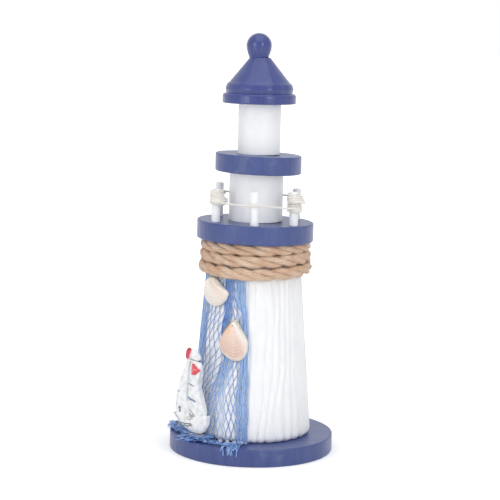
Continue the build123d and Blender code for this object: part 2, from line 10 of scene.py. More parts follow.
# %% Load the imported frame
import math
import bpy
import numpy as np
from mathutils import Matrix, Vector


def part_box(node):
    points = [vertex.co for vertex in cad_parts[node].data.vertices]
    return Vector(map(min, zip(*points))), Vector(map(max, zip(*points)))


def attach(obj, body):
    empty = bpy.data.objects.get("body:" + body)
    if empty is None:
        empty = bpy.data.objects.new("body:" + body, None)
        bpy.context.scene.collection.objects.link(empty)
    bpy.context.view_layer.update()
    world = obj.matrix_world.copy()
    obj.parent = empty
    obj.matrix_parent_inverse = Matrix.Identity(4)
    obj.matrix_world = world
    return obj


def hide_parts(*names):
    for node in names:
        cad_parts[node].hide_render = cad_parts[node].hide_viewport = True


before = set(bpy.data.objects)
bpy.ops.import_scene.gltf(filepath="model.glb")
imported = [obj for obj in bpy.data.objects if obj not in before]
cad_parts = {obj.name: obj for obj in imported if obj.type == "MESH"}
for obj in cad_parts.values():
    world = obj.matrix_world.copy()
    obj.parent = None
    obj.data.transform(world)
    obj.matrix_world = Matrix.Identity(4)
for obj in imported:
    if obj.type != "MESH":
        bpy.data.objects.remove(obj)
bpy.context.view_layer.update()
mm = 0.001

# %% [markdown]
# ## Camera
#
# The photo was taken with a long lens from a little above. A camera could be placed by eye, but a small
# error in its height changes the ellipse of every disc. So the place, the lens and the three angles were
# found by fitting the round edges of the discs to the ellipses in the photo.

# %% Camera
camera_place = np.array((0, -945.80, 249.33))
pitch, roll, yaw = np.radians((7.672, -1.400, -0.202))
sensor_width, focal_length = 36, 113.29
forward = np.array((math.sin(yaw) * math.cos(pitch), math.cos(yaw) * math.cos(pitch), -math.sin(pitch)))
level = np.array((math.cos(yaw), -math.sin(yaw), 0))
plumb = np.cross(forward, level)
right = math.cos(roll) * level + math.sin(roll) * plumb
up = math.sin(roll) * level - math.cos(roll) * plumb
camera_data = bpy.data.cameras.new("camera")
camera_data.sensor_width = sensor_width
camera_data.lens = focal_length
camera = bpy.data.objects.new("camera", camera_data)
bpy.context.scene.collection.objects.link(camera)
turn = Matrix(np.column_stack((right, up, -forward)).tolist())
camera.matrix_world = Matrix.Translation(camera_place * mm) @ turn.to_4x4()
bpy.context.scene.camera = camera
print(f"camera {np.linalg.norm(camera_place):.0f} mm from the origin")

# %% [markdown]
# ## Materials
#
# Colours are written as sRGB hex values and turned into linear light in one place. A material is a small
# tree of nodes. It could be put together by hand in the editor, but one function that adds a node, sets
# its sockets and links them keeps the whole tree readable here.


# %% Colours and nodes
def linear(colour):
    """Linear RGBA of an sRGB hex colour."""
    channels = [int(colour[start:start + 2], 16) / 255 for start in (1, 3, 5)]
    return [c / 12.92 if c <= 0.04045 else ((c + 0.055) / 1.055) ** 2.4 for c in channels] + [1]


def new_tree(name):
    """A new material and its empty node tree."""
    material = bpy.data.materials.new(name)
    material.use_nodes = True
    material.node_tree.nodes.clear()
    return material, material.node_tree


def add_node(tree, kind, settings, links):
    """Add a node. Settings go to inputs by name or number, or else to properties. Links are input: output."""
    node = tree.nodes.new(kind)
    for key, value in settings.items():
        if isinstance(key, int) or key in node.inputs:
            node.inputs[key].default_value = value
        else:
            setattr(node, key, value)
    for key, output in links.items():
        tree.links.new(output, node.inputs[key])
    return node


print(f"sRGB #808080 is {linear('#808080')[0]:.3f} in linear light")

# %% [markdown]
# ## White studio
#
# The photo has a plain white ground and soft light from all sides. Two highlights on the ball show two
# tall softboxes in front of the ornament, about 40 degrees to the left and 35 to the right. The broad
# sheen on the roof's slope shows a third one above it. The sky is a little stronger from above.
#
# Stronger lamps could turn the ground white, but they would bleach the ornament too. So the ground is
# white only as the camera and reflections see it. To them the floor is whiter the further it lies from
# the ornament: it takes the shadow, and no edge shows between it and the backdrop.


# %% Studio floor
def seen_directly(tree):
    """Output that is 1 for rays from the camera, in reflections and through glass, and 0 for other light."""
    path = add_node(tree, "ShaderNodeLightPath", {}, {})
    plain = add_node(
        tree,
        "ShaderNodeMath",
        {"operation": "ADD"},
        {0: path.outputs["Is Camera Ray"], 1: path.outputs["Is Glossy Ray"]},
    )
    every = add_node(
        tree,
        "ShaderNodeMath",
        {"operation": "ADD", "use_clamp": True},
        {0: plain.outputs[0], 1: path.outputs["Is Transmission Ray"]},
    )
    return every.outputs[0]


# matt paper has next to no highlight, so the eye sees only the shadow on it
shadow_end, white_start = 0.1, 0.5
near_glow, far_glow = 0.3, 0.7
floor_paper, tree = new_tree("white studio paper")
spot = add_node(tree, "ShaderNodeTexCoord", {}, {})
distance = add_node(tree, "ShaderNodeVectorMath", {"operation": "LENGTH"}, {0: spot.outputs["Object"]})
white = add_node(
    tree,
    "ShaderNodeMapRange",
    {"From Min": shadow_end, "From Max": white_start, "To Min": near_glow, "To Max": far_glow},
    {"Value": distance.outputs["Value"]},
)
glow = add_node(
    tree, "ShaderNodeMath", {"operation": "MULTIPLY"}, {0: white.outputs[0], 1: seen_directly(tree)}
)
paper = add_node(
    tree,
    "ShaderNodeBsdfPrincipled",
    {
        "Base Color": linear("#F2F2F2"),
        "Roughness": 0.9,
        "Specular IOR Level": 0.1,
        "Emission Color": linear("#FFFFFF"),
    },
    {"Emission Strength": glow.outputs[0]},
)
add_node(tree, "ShaderNodeOutputMaterial", {}, {"Surface": paper.outputs[0]})
floor_reach = 30
floor_drop = 0.0001
floor_mesh = bpy.data.meshes.new("studio_floor")
floor_mesh.from_pydata(
    [(x * floor_reach, y * floor_reach, -floor_drop) for x, y in ((-1, -1), (1, -1), (1, 1), (-1, 1))],
    [],
    [(0, 1, 2, 3)],
)
floor_mesh.materials.append(floor_paper)
floor = bpy.data.objects.new("studio_floor", floor_mesh)
bpy.context.scene.collection.objects.link(floor)
print(f"floor reaches {floor_reach} m each way")

# %% Sky and softboxes
level_sky, top_sky = 0.575, 0.71
world = bpy.data.worlds.new("soft white light")
world.use_nodes = True
tree = world.node_tree
tree.nodes.clear()
way = add_node(tree, "ShaderNodeTexCoord", {}, {})
upward = add_node(tree, "ShaderNodeSeparateXYZ", {}, {0: way.outputs["Generated"]})
overhead = add_node(
    tree, "ShaderNodeMapRange", {"To Min": level_sky, "To Max": top_sky}, {"Value": upward.outputs["Z"]}
)
sky = add_node(tree, "ShaderNodeBackground", {"Color": linear("#FBFCFF")}, {"Strength": overhead.outputs[0]})
backdrop = add_node(tree, "ShaderNodeBackground", {"Color": linear("#FFFFFF"), "Strength": 1}, {})
seen = add_node(
    tree, "ShaderNodeMixShader", {}, {0: seen_directly(tree), 1: sky.outputs[0], 2: backdrop.outputs[0]}
)
add_node(tree, "ShaderNodeOutputWorld", {}, {"Surface": seen.outputs[0]})
bpy.context.scene.world = world
bpy.context.scene.view_settings.view_transform = "Standard"

softboxes = {
    # name: (place in m, width and height in m, watts)
    "softbox_left": ((-0.78, -0.9, 0.4), (0.42, 0.72), 2.85),
    "softbox_right": ((0.66, -0.96, 0.5), (0.34, 0.58), 2.55),
    "softbox_above": ((0.05, -0.3, 1.15), (1.1, 1.1), 4),
}
aim = np.array((0, 0, 0.12))
for name, (place, (width, height), watts) in softboxes.items():
    light = bpy.data.lights.new(name, "AREA")
    light.shape = "RECTANGLE"
    light.size = width
    light.size_y = height
    light.energy = watts
    softbox = bpy.data.objects.new(name, light)
    bpy.context.scene.collection.objects.link(softbox)
    softbox.location = place
    away = np.array(place) - aim
    tilt = math.acos(away[2] / np.linalg.norm(away))
    softbox.rotation_euler = (tilt, 0, math.atan2(away[1], away[0]) + math.pi / 2)
print(f"{len(softboxes)} softboxes")

# %% [markdown]
# ## Painted wood
#
# The discs carry a satin navy paint, and the roof and the ball a glossier one. The brush leaves streaks a
# few millimetres apart that run up the edge of a disc. They could be painted on an image, but a noise that
# is drawn out along the height gives them without a seam on any piece. The same tree with other values
# gives the white paint of the drums, the posts and the tower, where the wood shows a little grey, and the
# bare dowels.

# %% Painted wood materials
streak_squeeze = 0.18
scuff_mm = 9
# the marks of single bristles are finer than the render can show, so they are drawn this coarse
brush_mm = 0.8
gloss_change = 0.03


def painted_wood(name, dark, light, roughness, streak_mm, bump_mm, scuff):
    """Paint on wood: the eye sees streaks along the height, a sheen broken by brush marks, and scuffs."""
    material, tree = new_tree(name)
    place = add_node(tree, "ShaderNodeTexCoord", {}, {})
    upright = add_node(
        tree, "ShaderNodeMapping", {"Scale": (1, 1, streak_squeeze)}, {"Vector": place.outputs["Object"]}
    )
    streaks = add_node(
        tree,
        "ShaderNodeTexNoise",
        {"Scale": 1 / (streak_mm * mm), "Detail": 4, "Roughness": 0.6},
        {"Vector": upright.outputs[0]},
    )
    spread = add_node(
        tree, "ShaderNodeMapRange", {"From Min": 0.3, "From Max": 0.7}, {"Value": streaks.outputs[0]}
    )
    tone = add_node(
        tree,
        "ShaderNodeMix",
        {"data_type": "RGBA", 6: linear(dark), 7: linear(light)},
        {0: spread.outputs[0]},
    )
    blotches = add_node(
        tree,
        "ShaderNodeTexNoise",
        {"Scale": 1 / (scuff_mm * mm), "Detail": 5},
        {"Vector": place.outputs["Object"]},
    )
    worn = add_node(
        tree,
        "ShaderNodeMapRange",
        {"From Min": 0.58, "From Max": 0.72, "To Max": scuff},
        {"Value": blotches.outputs[0]},
    )
    colour = add_node(
        tree,
        "ShaderNodeMix",
        {"data_type": "RGBA", 7: linear("#B9B7B4")},
        {0: worn.outputs[0], 6: tone.outputs[2]},
    )
    brush = add_node(
        tree,
        "ShaderNodeTexNoise",
        {"Scale": 1 / (brush_mm * mm), "Detail": 3},
        {"Vector": upright.outputs[0]},
    )
    bump = add_node(
        tree, "ShaderNodeBump", {"Strength": 0.6, "Distance": bump_mm * mm}, {"Height": brush.outputs[0]}
    )
    gloss = add_node(
        tree,
        "ShaderNodeMapRange",
        {"To Min": roughness - gloss_change, "To Max": roughness + gloss_change},
        {"Value": brush.outputs[0]},
    )
    surface = add_node(
        tree,
        "ShaderNodeBsdfPrincipled",
        {"IOR": 1.5},
        {"Base Color": colour.outputs[2], "Roughness": gloss.outputs[0], "Normal": bump.outputs[0]},
    )
    add_node(tree, "ShaderNodeOutputMaterial", {}, {"Surface": surface.outputs[0]})
    return material


# name, dark and light tone, roughness, mm between streaks, mm that the brush marks stand out, share of scuffs
navy_satin = painted_wood("navy satin paint brushed on wood", "#38477D", "#43538A", 0.33, 4, 0.1, 0.08)
navy_gloss = painted_wood(
    "navy gloss paint brushed on turned wood", "#303B79", "#3D4A89", 0.24, 5, 0.004, 0.03
)
white_drum = painted_wood("white paint on turned wood", "#F5F6F6", "#FAFAFA", 0.45, 5, 0.06, 0.08)
white_post = painted_wood("white paint on dowel rod", "#F1F2F3", "#F7F7F8", 0.5, 3, 0.1, 0.08)
white_grain = painted_wood("white paint on wire-brushed softwood", "#EEEFF1", "#F7F7F7", 0.55, 3, 0.08, 0.06)
bare_wood = painted_wood("bare sanded beech", "#C9A77A", "#DCBD92", 0.6, 2, 0.1, 0)
print("six wood materials")

# %% [markdown]
# ## Turned pieces
#
# A turned piece is a profile carried round the centre line. A screw modifier could do that, but then every
# piece would be perfectly round. Here the corners of a profile are broken as by sandpaper, so each has a
# small rounding, and the radius is never quite even: waves with whole counts round the piece make it so
# without a seam.

# %% Profiles and turning
arc_points = 7
steady_radius = 8


def rounded_profile(corners, step):
    """Points along (radius, height, rounding) corners, at most a step apart."""
    places = [np.array(corner[:2], float) for corner in corners]
    points = [places[0]]
    for before, here, after, (_, _, rounding) in zip(places, places[1:], places[2:], corners[1:]):
        way_in = (here - before) / np.linalg.norm(here - before)
        way_out = (after - here) / np.linalg.norm(after - here)
        half = math.acos(np.clip(way_in @ way_out, -1, 1)) / 2
        start = here - way_in * rounding * math.tan(half)
        end = here + way_out * rounding * math.tan(half)
        for share in np.linspace(0, 1, arc_points if rounding else 1):
            weights = np.array(((1 - share) ** 2, 2 * share * (1 - share) * math.cos(half), share**2))
            points.append(weights @ np.array((start, here, end)) / weights.sum())
    points.append(places[-1])
    fine = points[:1]
    for start, end in zip(points, points[1:]):
        count = max(1, math.ceil(np.linalg.norm(end - start) / step))
        fine += [start + (end - start) * index / count for index in range(1, count + 1)]
    return np.array(fine)


def ripple(angle, height, seed, rounds, lengths, count):
    """Uneven pattern about -1 to 1, made of waves round a piece that change along its height in mm."""
    draw = np.random.default_rng(seed)
    total = 0
    for _ in range(count):
        waves = draw.integers(rounds[0], rounds[1] + 1)
        length = draw.uniform(*lengths) * draw.choice((-1, 1))
        total = total + np.cos(waves * angle + 2 * math.pi * (height / length + draw.random()))
    return total / math.sqrt(count)


def grid_quads(rows, columns, closed):
    """Quads between rows of points, closed round the columns or open."""
    row, column = np.meshgrid(np.arange(rows - 1), np.arange(columns - 1 + closed), indexing="ij")
    after = (column + 1) % columns
    here, above = row * columns, (row + 1) * columns
    return np.stack((here + column, here + after, above + after, above + column), -1).reshape(-1, 4)


def turned(profile, segments, uneven):
    """Points and quads of a profile turned round the centre line. Uneven changes the radius, in mm."""
    angle = np.linspace(0, 2 * math.pi, segments, endpoint=False)[None, :]
    radius, height = profile[:, :1], profile[:, 1:]
    radius = radius + uneven(angle, height) * np.minimum(1, radius / steady_radius)
    points = np.stack((radius * np.cos(angle), radius * np.sin(angle), height + 0 * angle), -1)
    return points.reshape(-1, 3), grid_quads(len(profile), segments, True)


def add_piece(name, points, faces, material, slot, stands_for, **measures):
    """Make a smooth mesh of points in mm, which rides on the frame and stands for CAD nodes."""
    mesh = bpy.data.meshes.new(name)
    mesh.from_pydata((np.asarray(points) * mm).tolist(), [], np.asarray(faces).tolist())
    mesh.shade_smooth()
    for key, values in measures.items():
        values = np.asarray(values, np.float32)
        if values.ndim == 1:
            mesh.attributes.new(key, "FLOAT", "POINT").data.foreach_set("value", values)
        else:
            mesh.attributes.new(key, "FLOAT_COLOR", "POINT").data.foreach_set("color", values.ravel())
    mesh.materials.append(material)
    piece = bpy.data.objects.new(name, mesh)
    bpy.context.scene.collection.objects.link(piece)
    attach(piece, "root")
    if stands_for:
        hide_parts(*stands_for)
    print(f"{name}: {len(mesh.vertices)} points")
    return piece


# %% [markdown]
# ### Discs, drums, roof and ball
#
# Each profile takes its lowest and highest level from the CAD node that it stands for, so the stack stays
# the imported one. The discs were cut by hand: their edges are a tenth of a millimetre or two out of round,
# and the gallery and the upper disc were glued on a degree or so askew. Like the drums, they sit half a
# millimetre aside, so that a thin dark gap shows beside the drums.

# %% Base
# profiles end this close to the centre line and not on it, where the points of a ring would fall together
axis = 0.02
disc_step = 1.2


def levels(node):
    """Lowest and highest level of a CAD node, and how far it reaches to the right, in mm."""
    low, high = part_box(node)
    return low.z / mm, high.z / mm, high.x / mm


def hand_cut(seed, depth):
    """A turned piece's unevenness: slow waves and a little tool chatter, most of it into the wood."""
    def uneven(angle, height):
        slow = ripple(angle, height, seed, (2, 9), (40, 120), 8)
        chatter = ripple(angle, height, seed + 1, (20, 60), (8, 30), 10)
        return depth * (slow + 0.35 * chatter) - 1.3 * depth
    return uneven


base_low, base_top, base_radius = levels("base_disc")
base_rounding = 0.9
screw_radius, sink_radius = 2.15, 4.45
base_profile = rounded_profile(
    [
        (screw_radius, base_top, 0),
        (base_radius, base_top, base_rounding),
        (base_radius, base_low, base_rounding),
        (sink_radius, base_low, 0),
        (screw_radius, base_low + sink_radius - screw_radius, 0),
    ],
    disc_step,
)
base_points, base_quads = turned(base_profile, 360, hand_cut(3, 0.08))
add_piece("painted_base", base_points, base_quads, navy_satin, "navy_paint", ["base_disc"])

# %% Discs and drums
gallery_hang = 1.1
discs = {
    # name: (CAD node, rounding and unevenness in mm, mm that it sits to the right,
    #        degrees that its right side hangs, material, slot)
    "painted_gallery": ("gallery_disc", 0.8, 0.08, -0.5, gallery_hang, navy_satin, "navy_paint"),
    "painted_upper_disc": ("upper_disc", 0.8, 0.08, 0.5, 1.6, navy_satin, "navy_paint"),
    "painted_lower_lantern": ("lower_lantern", 0.4, 0.05, -0.5, 0, white_drum, "white_paint"),
    "painted_upper_lantern": ("upper_lantern", 0.4, 0.05, 0.5, 0, white_drum, "white_paint"),
}
for seed, (name, (node, rounding, depth, aside, hang, material, slot)) in enumerate(discs.items()):
    low, high, radius = levels(node)
    corners = [(axis, low, 0), (radius, low, rounding), (radius, high, rounding), (axis, high, 0)]
    points, quads = turned(rounded_profile(corners, disc_step), 300, hand_cut(20 + 2 * seed, depth))
    points[:, 2] -= points[:, 0] * math.tan(math.radians(hang))
    points[:, 0] += aside
    add_piece(name, points, quads, material, slot, [node])

# %% Roof and ball
roof_low, roof_top, rim_radius = levels("roof_cap")
ball_seat = roof_top - 0.5
roof_profile = rounded_profile(
    [
        # radius, height and rounding: the rim, the step over it, and the slope up to the ball
        (axis, roof_low, 0),
        (rim_radius, roof_low, 0.6),
        (rim_radius, roof_low + 6.2, 1.8),
        (19.9, roof_low + 6, 0.15),
        (20.5, roof_low + 8.6, 2),
        (19.6, roof_low + 11.4, 1.6),
        (17.9, roof_low + 12.9, 0.3),
        (6.2, ball_seat, 0.4),
        (axis, ball_seat, 0),
    ],
    0.8,
)
roof_points, roof_quads = turned(roof_profile, 300, hand_cut(40, 0.04))
add_piece("painted_roof", roof_points, roof_quads, navy_gloss, "navy_paint", ["roof_cap"])
_, ball_top, ball_radius = levels("finial_ball")
ball_arc = np.radians(np.linspace(0, 89.8, 40))
ball_middle = ball_top - ball_radius
waist_heights = roof_top + np.array((-0.8, 0, 2, 4.2, 6.4))
waist_radii = ball_radius - np.array((1.8, 1.5, 0.75, 0.22, 0))
ball_waist = np.linspace(roof_top - 0.8, ball_middle - 0.2, 24)
ball_profile = np.concatenate((
    np.column_stack((np.interp(ball_waist, waist_heights, waist_radii), ball_waist)),
    np.column_stack((ball_radius * np.cos(ball_arc), ball_middle + ball_radius * np.sin(ball_arc))),
))
ball_points, ball_quads = turned(ball_profile, 120, hand_cut(50, 0.03))
ball_set_aside = (-0.8, 0, 0)
add_piece("painted_ball", ball_points + ball_set_aside, ball_quads, navy_gloss, "navy_paint", ["finial_ball"])

# %% [markdown]
# ### Railing posts
#
# Six lengths of dowel rod, painted white and pushed into drilled holes, not all to the same depth. One
# cylinder could be copied six times, but none of the real ones stands quite upright or is quite round, so
# each is turned with its own seed. They follow the hang of the gallery.

# %% Posts
hole_depth = 5
lean_spread = 0.012
gallery_slope = math.tan(math.radians(gallery_hang))
posts = {}
pushed_in = {
    # post: mm that it is pushed in further than the others
    "back": 0,
    "back_left": -0.5,
    "front_left": 0.3,
    "front": 0,
    "front_right": 0,
    "back_right": 1.2,
}
for seed, (name, depth) in enumerate(pushed_in.items()):
    low, high = (np.array(corner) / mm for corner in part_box(f"rail_post_{name}"))
    centre = (low + high) / 2
    radius = (high[0] - low[0]) / 2
    height = high[2] - low[2]
    profile = rounded_profile([(axis, 0, 0), (radius, 0, 0.3), (radius, height, 0.7), (axis, height, 0)], 1)
    points, quads = turned(profile, 48, hand_cut(60 + seed, 0.06))
    lean = np.random.default_rng(80 + seed).normal(0, lean_spread, 2)
    over_gallery = points[:, 2:] - hole_depth
    points[:, :2] += over_gallery * lean
    points = points + (centre[0], centre[1], low[2] - depth)
    points[:, 2] -= points[:, 0] * gallery_slope
    add_piece(f"painted_post_{name}", points, quads, white_post, "white_paint", [f"rail_post_{name}"])
    posts[name] = centre[:2], lean
print(f"{len(posts)} posts")

# %% [markdown]
# ## Tower
#
# The tower's softwood was wire-brushed before it was painted: the soft early wood is worn away and the
# hard rings stand out as ridges, four to five and a half millimetres apart, which wander as the grain
# does. A bump in the material would be quicker, but it leaves the foot and the outline smooth. So they are
# real grooves in the mesh.

# %% Tower with a raised grain
tower_low, tower_high, _ = levels("tower_body")
foot_radius = 36.2
top_radius = 26.7
ridges = 41
groove_depth = 0.8
fibre_height = 0.035
foot_wear = 3


def tower_radius(height):
    """Radius of the tower's smooth face at a height in mm."""
    return foot_radius + (top_radius - foot_radius) * (height - tower_low) / (tower_high - tower_low)


def raised_grain(angle, height):
    """Change of the tower's radius: narrow grooves between rounded ridges, deepest at the foot."""
    slow = ripple(angle, height, 7, (1, 4), (90, 230), 6)
    quick = ripple(angle, height, 8, (5, 12), (30, 80), 8)
    ridge = np.abs(np.sin((ridges * angle + 1.8 * slow + 0.5 * quick) / 2)) ** 0.95
    depth = np.clip(groove_depth + 0.3 * ripple(angle, height, 9, (3, 15), (40, 160), 8), 0.25, 1.35)
    depth = depth * (1 + 0.9 * np.exp(-(height - tower_low) / foot_wear))
    fibres = fibre_height * ripple(angle, height, 10, (90, 200), (30, 120), 14)
    return depth * (ridge - 1) + fibres


tower_profile = rounded_profile(
    [
        (axis, tower_low, 0),
        (foot_radius, tower_low, 3.2),
        (top_radius, tower_high, 0.8),
        (axis, tower_high, 0),
    ],
    1.4,
)
tower_points, tower_quads = turned(tower_profile, 640, raised_grain)
add_piece("painted_tower", tower_points, tower_quads, white_grain, "white_paint", ["tower_body"])

# %% [markdown]
# ## Rope
#
# A three-strand jute rope, laid right-handed, goes round the tower nearly three times. Its turns lie on
# each other and sag a little at the front. A curve with a round bevel would give a smooth hose. Here each
# strand is a tube with the yarns standing out as ridges, laid round the rope's own centre line, and loose
# fibres stand off it.


# %% Tubes
def unit(vectors):
    """Vectors of length one."""
    return vectors / np.linalg.norm(vectors, axis=-1, keepdims=True)


def run_along(points):
    """Length of the way along a line at each of its points."""
    return np.concatenate(([0], np.cumsum(np.linalg.norm(np.diff(points, axis=0), axis=1))))


def points_at(steps, points):
    """Points on a line at given lengths of the way along it."""
    run = run_along(points)
    return np.column_stack([np.interp(steps, run, column) for column in points.T])


def tubes(paths, radii, ups, sides):
    """Points and quads of tubes along paths (tube, point, 3). Radii may change along and round a tube."""
    ways = unit(np.gradient(paths, axis=1))
    across = unit(np.cross(ways, ups))
    lift = np.cross(across, ways)
    turn = np.linspace(0, 2 * math.pi, sides, endpoint=False)
    ring = across[:, :, None] * np.cos(turn)[:, None] + lift[:, :, None] * np.sin(turn)[:, None]
    points = paths[:, :, None] + ring * np.broadcast_to(radii, ring.shape[:3])[..., None]
    quads = grid_quads(paths.shape[1], sides, True)
    starts = np.arange(len(paths)) * paths.shape[1] * sides
    return points.reshape(-1, 3), (quads[None] + starts[:, None, None]).reshape(-1, 4)


def polar(radius, angle, height):
    """Points from a radius, an angle in radians and a height."""
    return np.stack(np.broadcast_arrays(radius * np.cos(angle), radius * np.sin(angle), height), -1)


# %% Rope centre line
rope_bends = np.array((
    # degrees round the tower from its right side, against the clock, and height of the rope's centre
    (120, 111.5), (180, 112.9), (270, 111.1), (360, 112.9), (450, 116.3), (540, 119.9),
    (630, 118.7), (720, 119.9), (810, 123), (900, 126), (990, 125.7), (1080, 126), (1110, 126),
))
rope_step = 1.1
bend_steps = 61
rope_degrees = np.arange(rope_bends[0, 0], rope_bends[-1, 0], rope_step)
rope_angle = np.radians(rope_degrees)
rope_height = np.interp(rope_degrees, *rope_bends.T)
window = np.hanning(bend_steps) / np.hanning(bend_steps).sum()
rope_height = np.convolve(np.pad(rope_height, bend_steps // 2, "edge"), window, "valid")
rope_half_width, rope_half_height = 1.2, 1.74
strand_radius = 1.88
tower_gap = 0.1
rope_radius = tower_radius(rope_height) + rope_half_width + strand_radius + tower_gap
rope_line = polar(rope_radius, rope_angle, rope_height)
rope_way = unit(np.gradient(rope_line, axis=0))
rope_out = unit(polar(1, rope_angle, 0))
rope_down = np.cross(rope_way, rope_out)
rope_run = run_along(rope_line)
print(f"rope {rope_run[-1]:.0f} mm long")

# %% Rope strands
strand_count, strand_sides = 3, 26
rope_lay = 35
yarn_count, yarn_lay = 6, 4.4
end_length = 1.2
strands = []
for strand in range(strand_count):
    lay = 2 * math.pi * (rope_run / rope_lay + strand / strand_count)
    lay = lay + 0.18 * np.sin(rope_run / 9 + 2 * strand)
    outward = rope_out * (rope_half_width * np.cos(lay))[:, None]
    downward = rope_down * (rope_half_height * np.sin(lay))[:, None]
    strands.append(rope_line + (outward + downward))
strands = np.array(strands)
run_down = rope_run[None, :, None]
yarn_turn = np.linspace(0, 2 * math.pi, strand_sides, endpoint=False)[None, None, :]
yarn_start = np.arange(strand_count)[:, None, None]
yarn_twist = yarn_turn * yarn_count - 2 * math.pi * run_down / yarn_lay + yarn_start
yarn_ridge = np.abs(np.cos(yarn_twist / 2)) ** 0.6
swell = 1 + 0.05 * np.sin(run_down / 5.3) + 0.03 * np.sin(run_down / 1.9)
end_taper = np.clip(np.minimum(run_down, rope_run[-1] - run_down) / end_length, 0.05, 1)
strand_radii = strand_radius * swell * (0.92 + 0.12 * yarn_ridge) * end_taper
rope_points, rope_quads = tubes(strands, strand_radii, rope_out, strand_sides)
off_centre = rope_points.reshape(strand_count, -1, strand_sides, 3) - rope_line[None, :, None]
rope_reach = np.linalg.norm(off_centre, axis=-1)
# painted shade: darker towards the rope's middle, between the strands, and in the grooves between the yarns
crevice = np.clip((2.7 - rope_reach) / 1.2, 0, 1) * 0.5 + 0.32 * (1 - yarn_ridge)
print(f"{strand_count} strands of {yarn_count} yarns")

# %% Loose rope fibres
rope_draw = np.random.default_rng(5)
fuzz_count, fuzz_steps, fuzz_sides = 5200, 5, 3
fuzz_thickness = 0.065
fuzz_strand = rope_draw.integers(0, strand_count, fuzz_count)
fuzz_at = rope_draw.integers(4, len(rope_run) - 4, fuzz_count)
fuzz_root = strands[fuzz_strand, fuzz_at]
fuzz_side = fuzz_root - rope_line[fuzz_at] + rope_out[fuzz_at] * 0.8
fuzz_side = unit(fuzz_side + rope_draw.normal(0, 0.5, (fuzz_count, 3)))
fuzz_along = rope_way[fuzz_at] * rope_draw.choice((-1, 1), fuzz_count)[:, None]
fuzz_length = rope_draw.uniform(1.6, 4.6, fuzz_count)[:, None, None]
share = np.linspace(0, 1, fuzz_steps)[None, :, None]
fuzz_bend = rope_draw.normal(0, 0.5, (fuzz_count, 1, 3))
fuzz = (
    fuzz_root[:, None]
    + fuzz_side[:, None] * (strand_radius * 0.8 + 0.28 * fuzz_length * share)
    + fuzz_along[:, None] * fuzz_length * share * 0.9
    + fuzz_bend * fuzz_length * share**2 * 0.5
)
fuzz_radii = fuzz_thickness * (1 - 0.6 * share)
fuzz_points, fuzz_quads = tubes(fuzz, fuzz_radii, fuzz_bend + (0, 0, 0.01), fuzz_sides)
fuzz_shade = rope_draw.random(fuzz_count).repeat(fuzz_steps * fuzz_sides) * 0.5
print(f"{fuzz_count} loose fibres")

# %% Jute material and rope pieces
# jute is dull and hairy: no clear highlight, a pale bloom at the edges, painted shade between the strands.
# Its fibres are far thinner than the render can show, so they are drawn this coarse
jute_fibre_mm, jute_patch_mm = 0.9, 7
jute, tree = new_tree("twisted natural jute")
# the attribute holds painted shade in the rope's creases, and a random darker tone on the loose fibres
depth = add_node(tree, "ShaderNodeAttribute", {"attribute_name": "crevice"}, {})
place = add_node(tree, "ShaderNodeTexCoord", {}, {})
fibre = add_node(
    tree,
    "ShaderNodeTexNoise",
    {"Scale": 1 / (jute_fibre_mm * mm), "Detail": 6, "Roughness": 0.75},
    {"Vector": place.outputs["Object"]},
)
patches = add_node(
    tree,
    "ShaderNodeTexNoise",
    {"Scale": 1 / (jute_patch_mm * mm), "Detail": 3},
    {"Vector": place.outputs["Object"]},
)
fibre_share = add_node(
    tree, "ShaderNodeMapRange", {"From Min": 0.3, "From Max": 0.7}, {"Value": fibre.outputs[0]}
)
patch_share = add_node(
    tree, "ShaderNodeMapRange", {"From Min": 0.35, "From Max": 0.65}, {"Value": patches.outputs[0]}
)
pale = add_node(
    tree,
    "ShaderNodeMix",
    {"data_type": "RGBA", 6: linear("#D4B599"), 7: linear("#EED9C3")},
    {0: fibre_share.outputs[0]},
)
warm = add_node(
    tree,
    "ShaderNodeMix",
    {"data_type": "RGBA", 7: linear("#D6B093")},
    {0: patch_share.outputs[0], 6: pale.outputs[2]},
)
shaded = add_node(
    tree,
    "ShaderNodeMix",
    {"data_type": "RGBA", 7: linear("#A28166")},
    {0: depth.outputs["Fac"], 6: warm.outputs[2]},
)
bump = add_node(tree, "ShaderNodeBump", {"Strength": 0.9, "Distance": 0.3 * mm}, {"Height": fibre.outputs[0]})
surface = add_node(
    tree,
    "ShaderNodeBsdfPrincipled",
    {"Roughness": 0.85, "Specular IOR Level": 0.25, "Sheen Weight": 0.25, "Sheen Roughness": 0.5},
    {"Base Color": shaded.outputs[2], "Normal": bump.outputs[0]},
)
add_node(tree, "ShaderNodeOutputMaterial", {}, {"Surface": surface.outputs[0]})
add_piece("jute_rope", rope_points, rope_quads, jute, "jute_rope", ["rope_wrap"], crevice=crevice.ravel())
add_piece("jute_fibres", fuzz_points, fuzz_quads, jute, "jute_rope", [], crevice=fuzz_shade)

# %% [markdown]
# ## Railing string
#
# A two-ply cotton string goes round the posts. It takes some fifteen turns on each of the two posts beside
# the front one, which makes the thick cream collars in the photo, and one turn on each of the others but
# the back one, where it is tied. The outer turns are slack and lie to the right. Rings could stand in for
# the turns, but one line that winds on and off the posts also gives the ends that cross over each other.

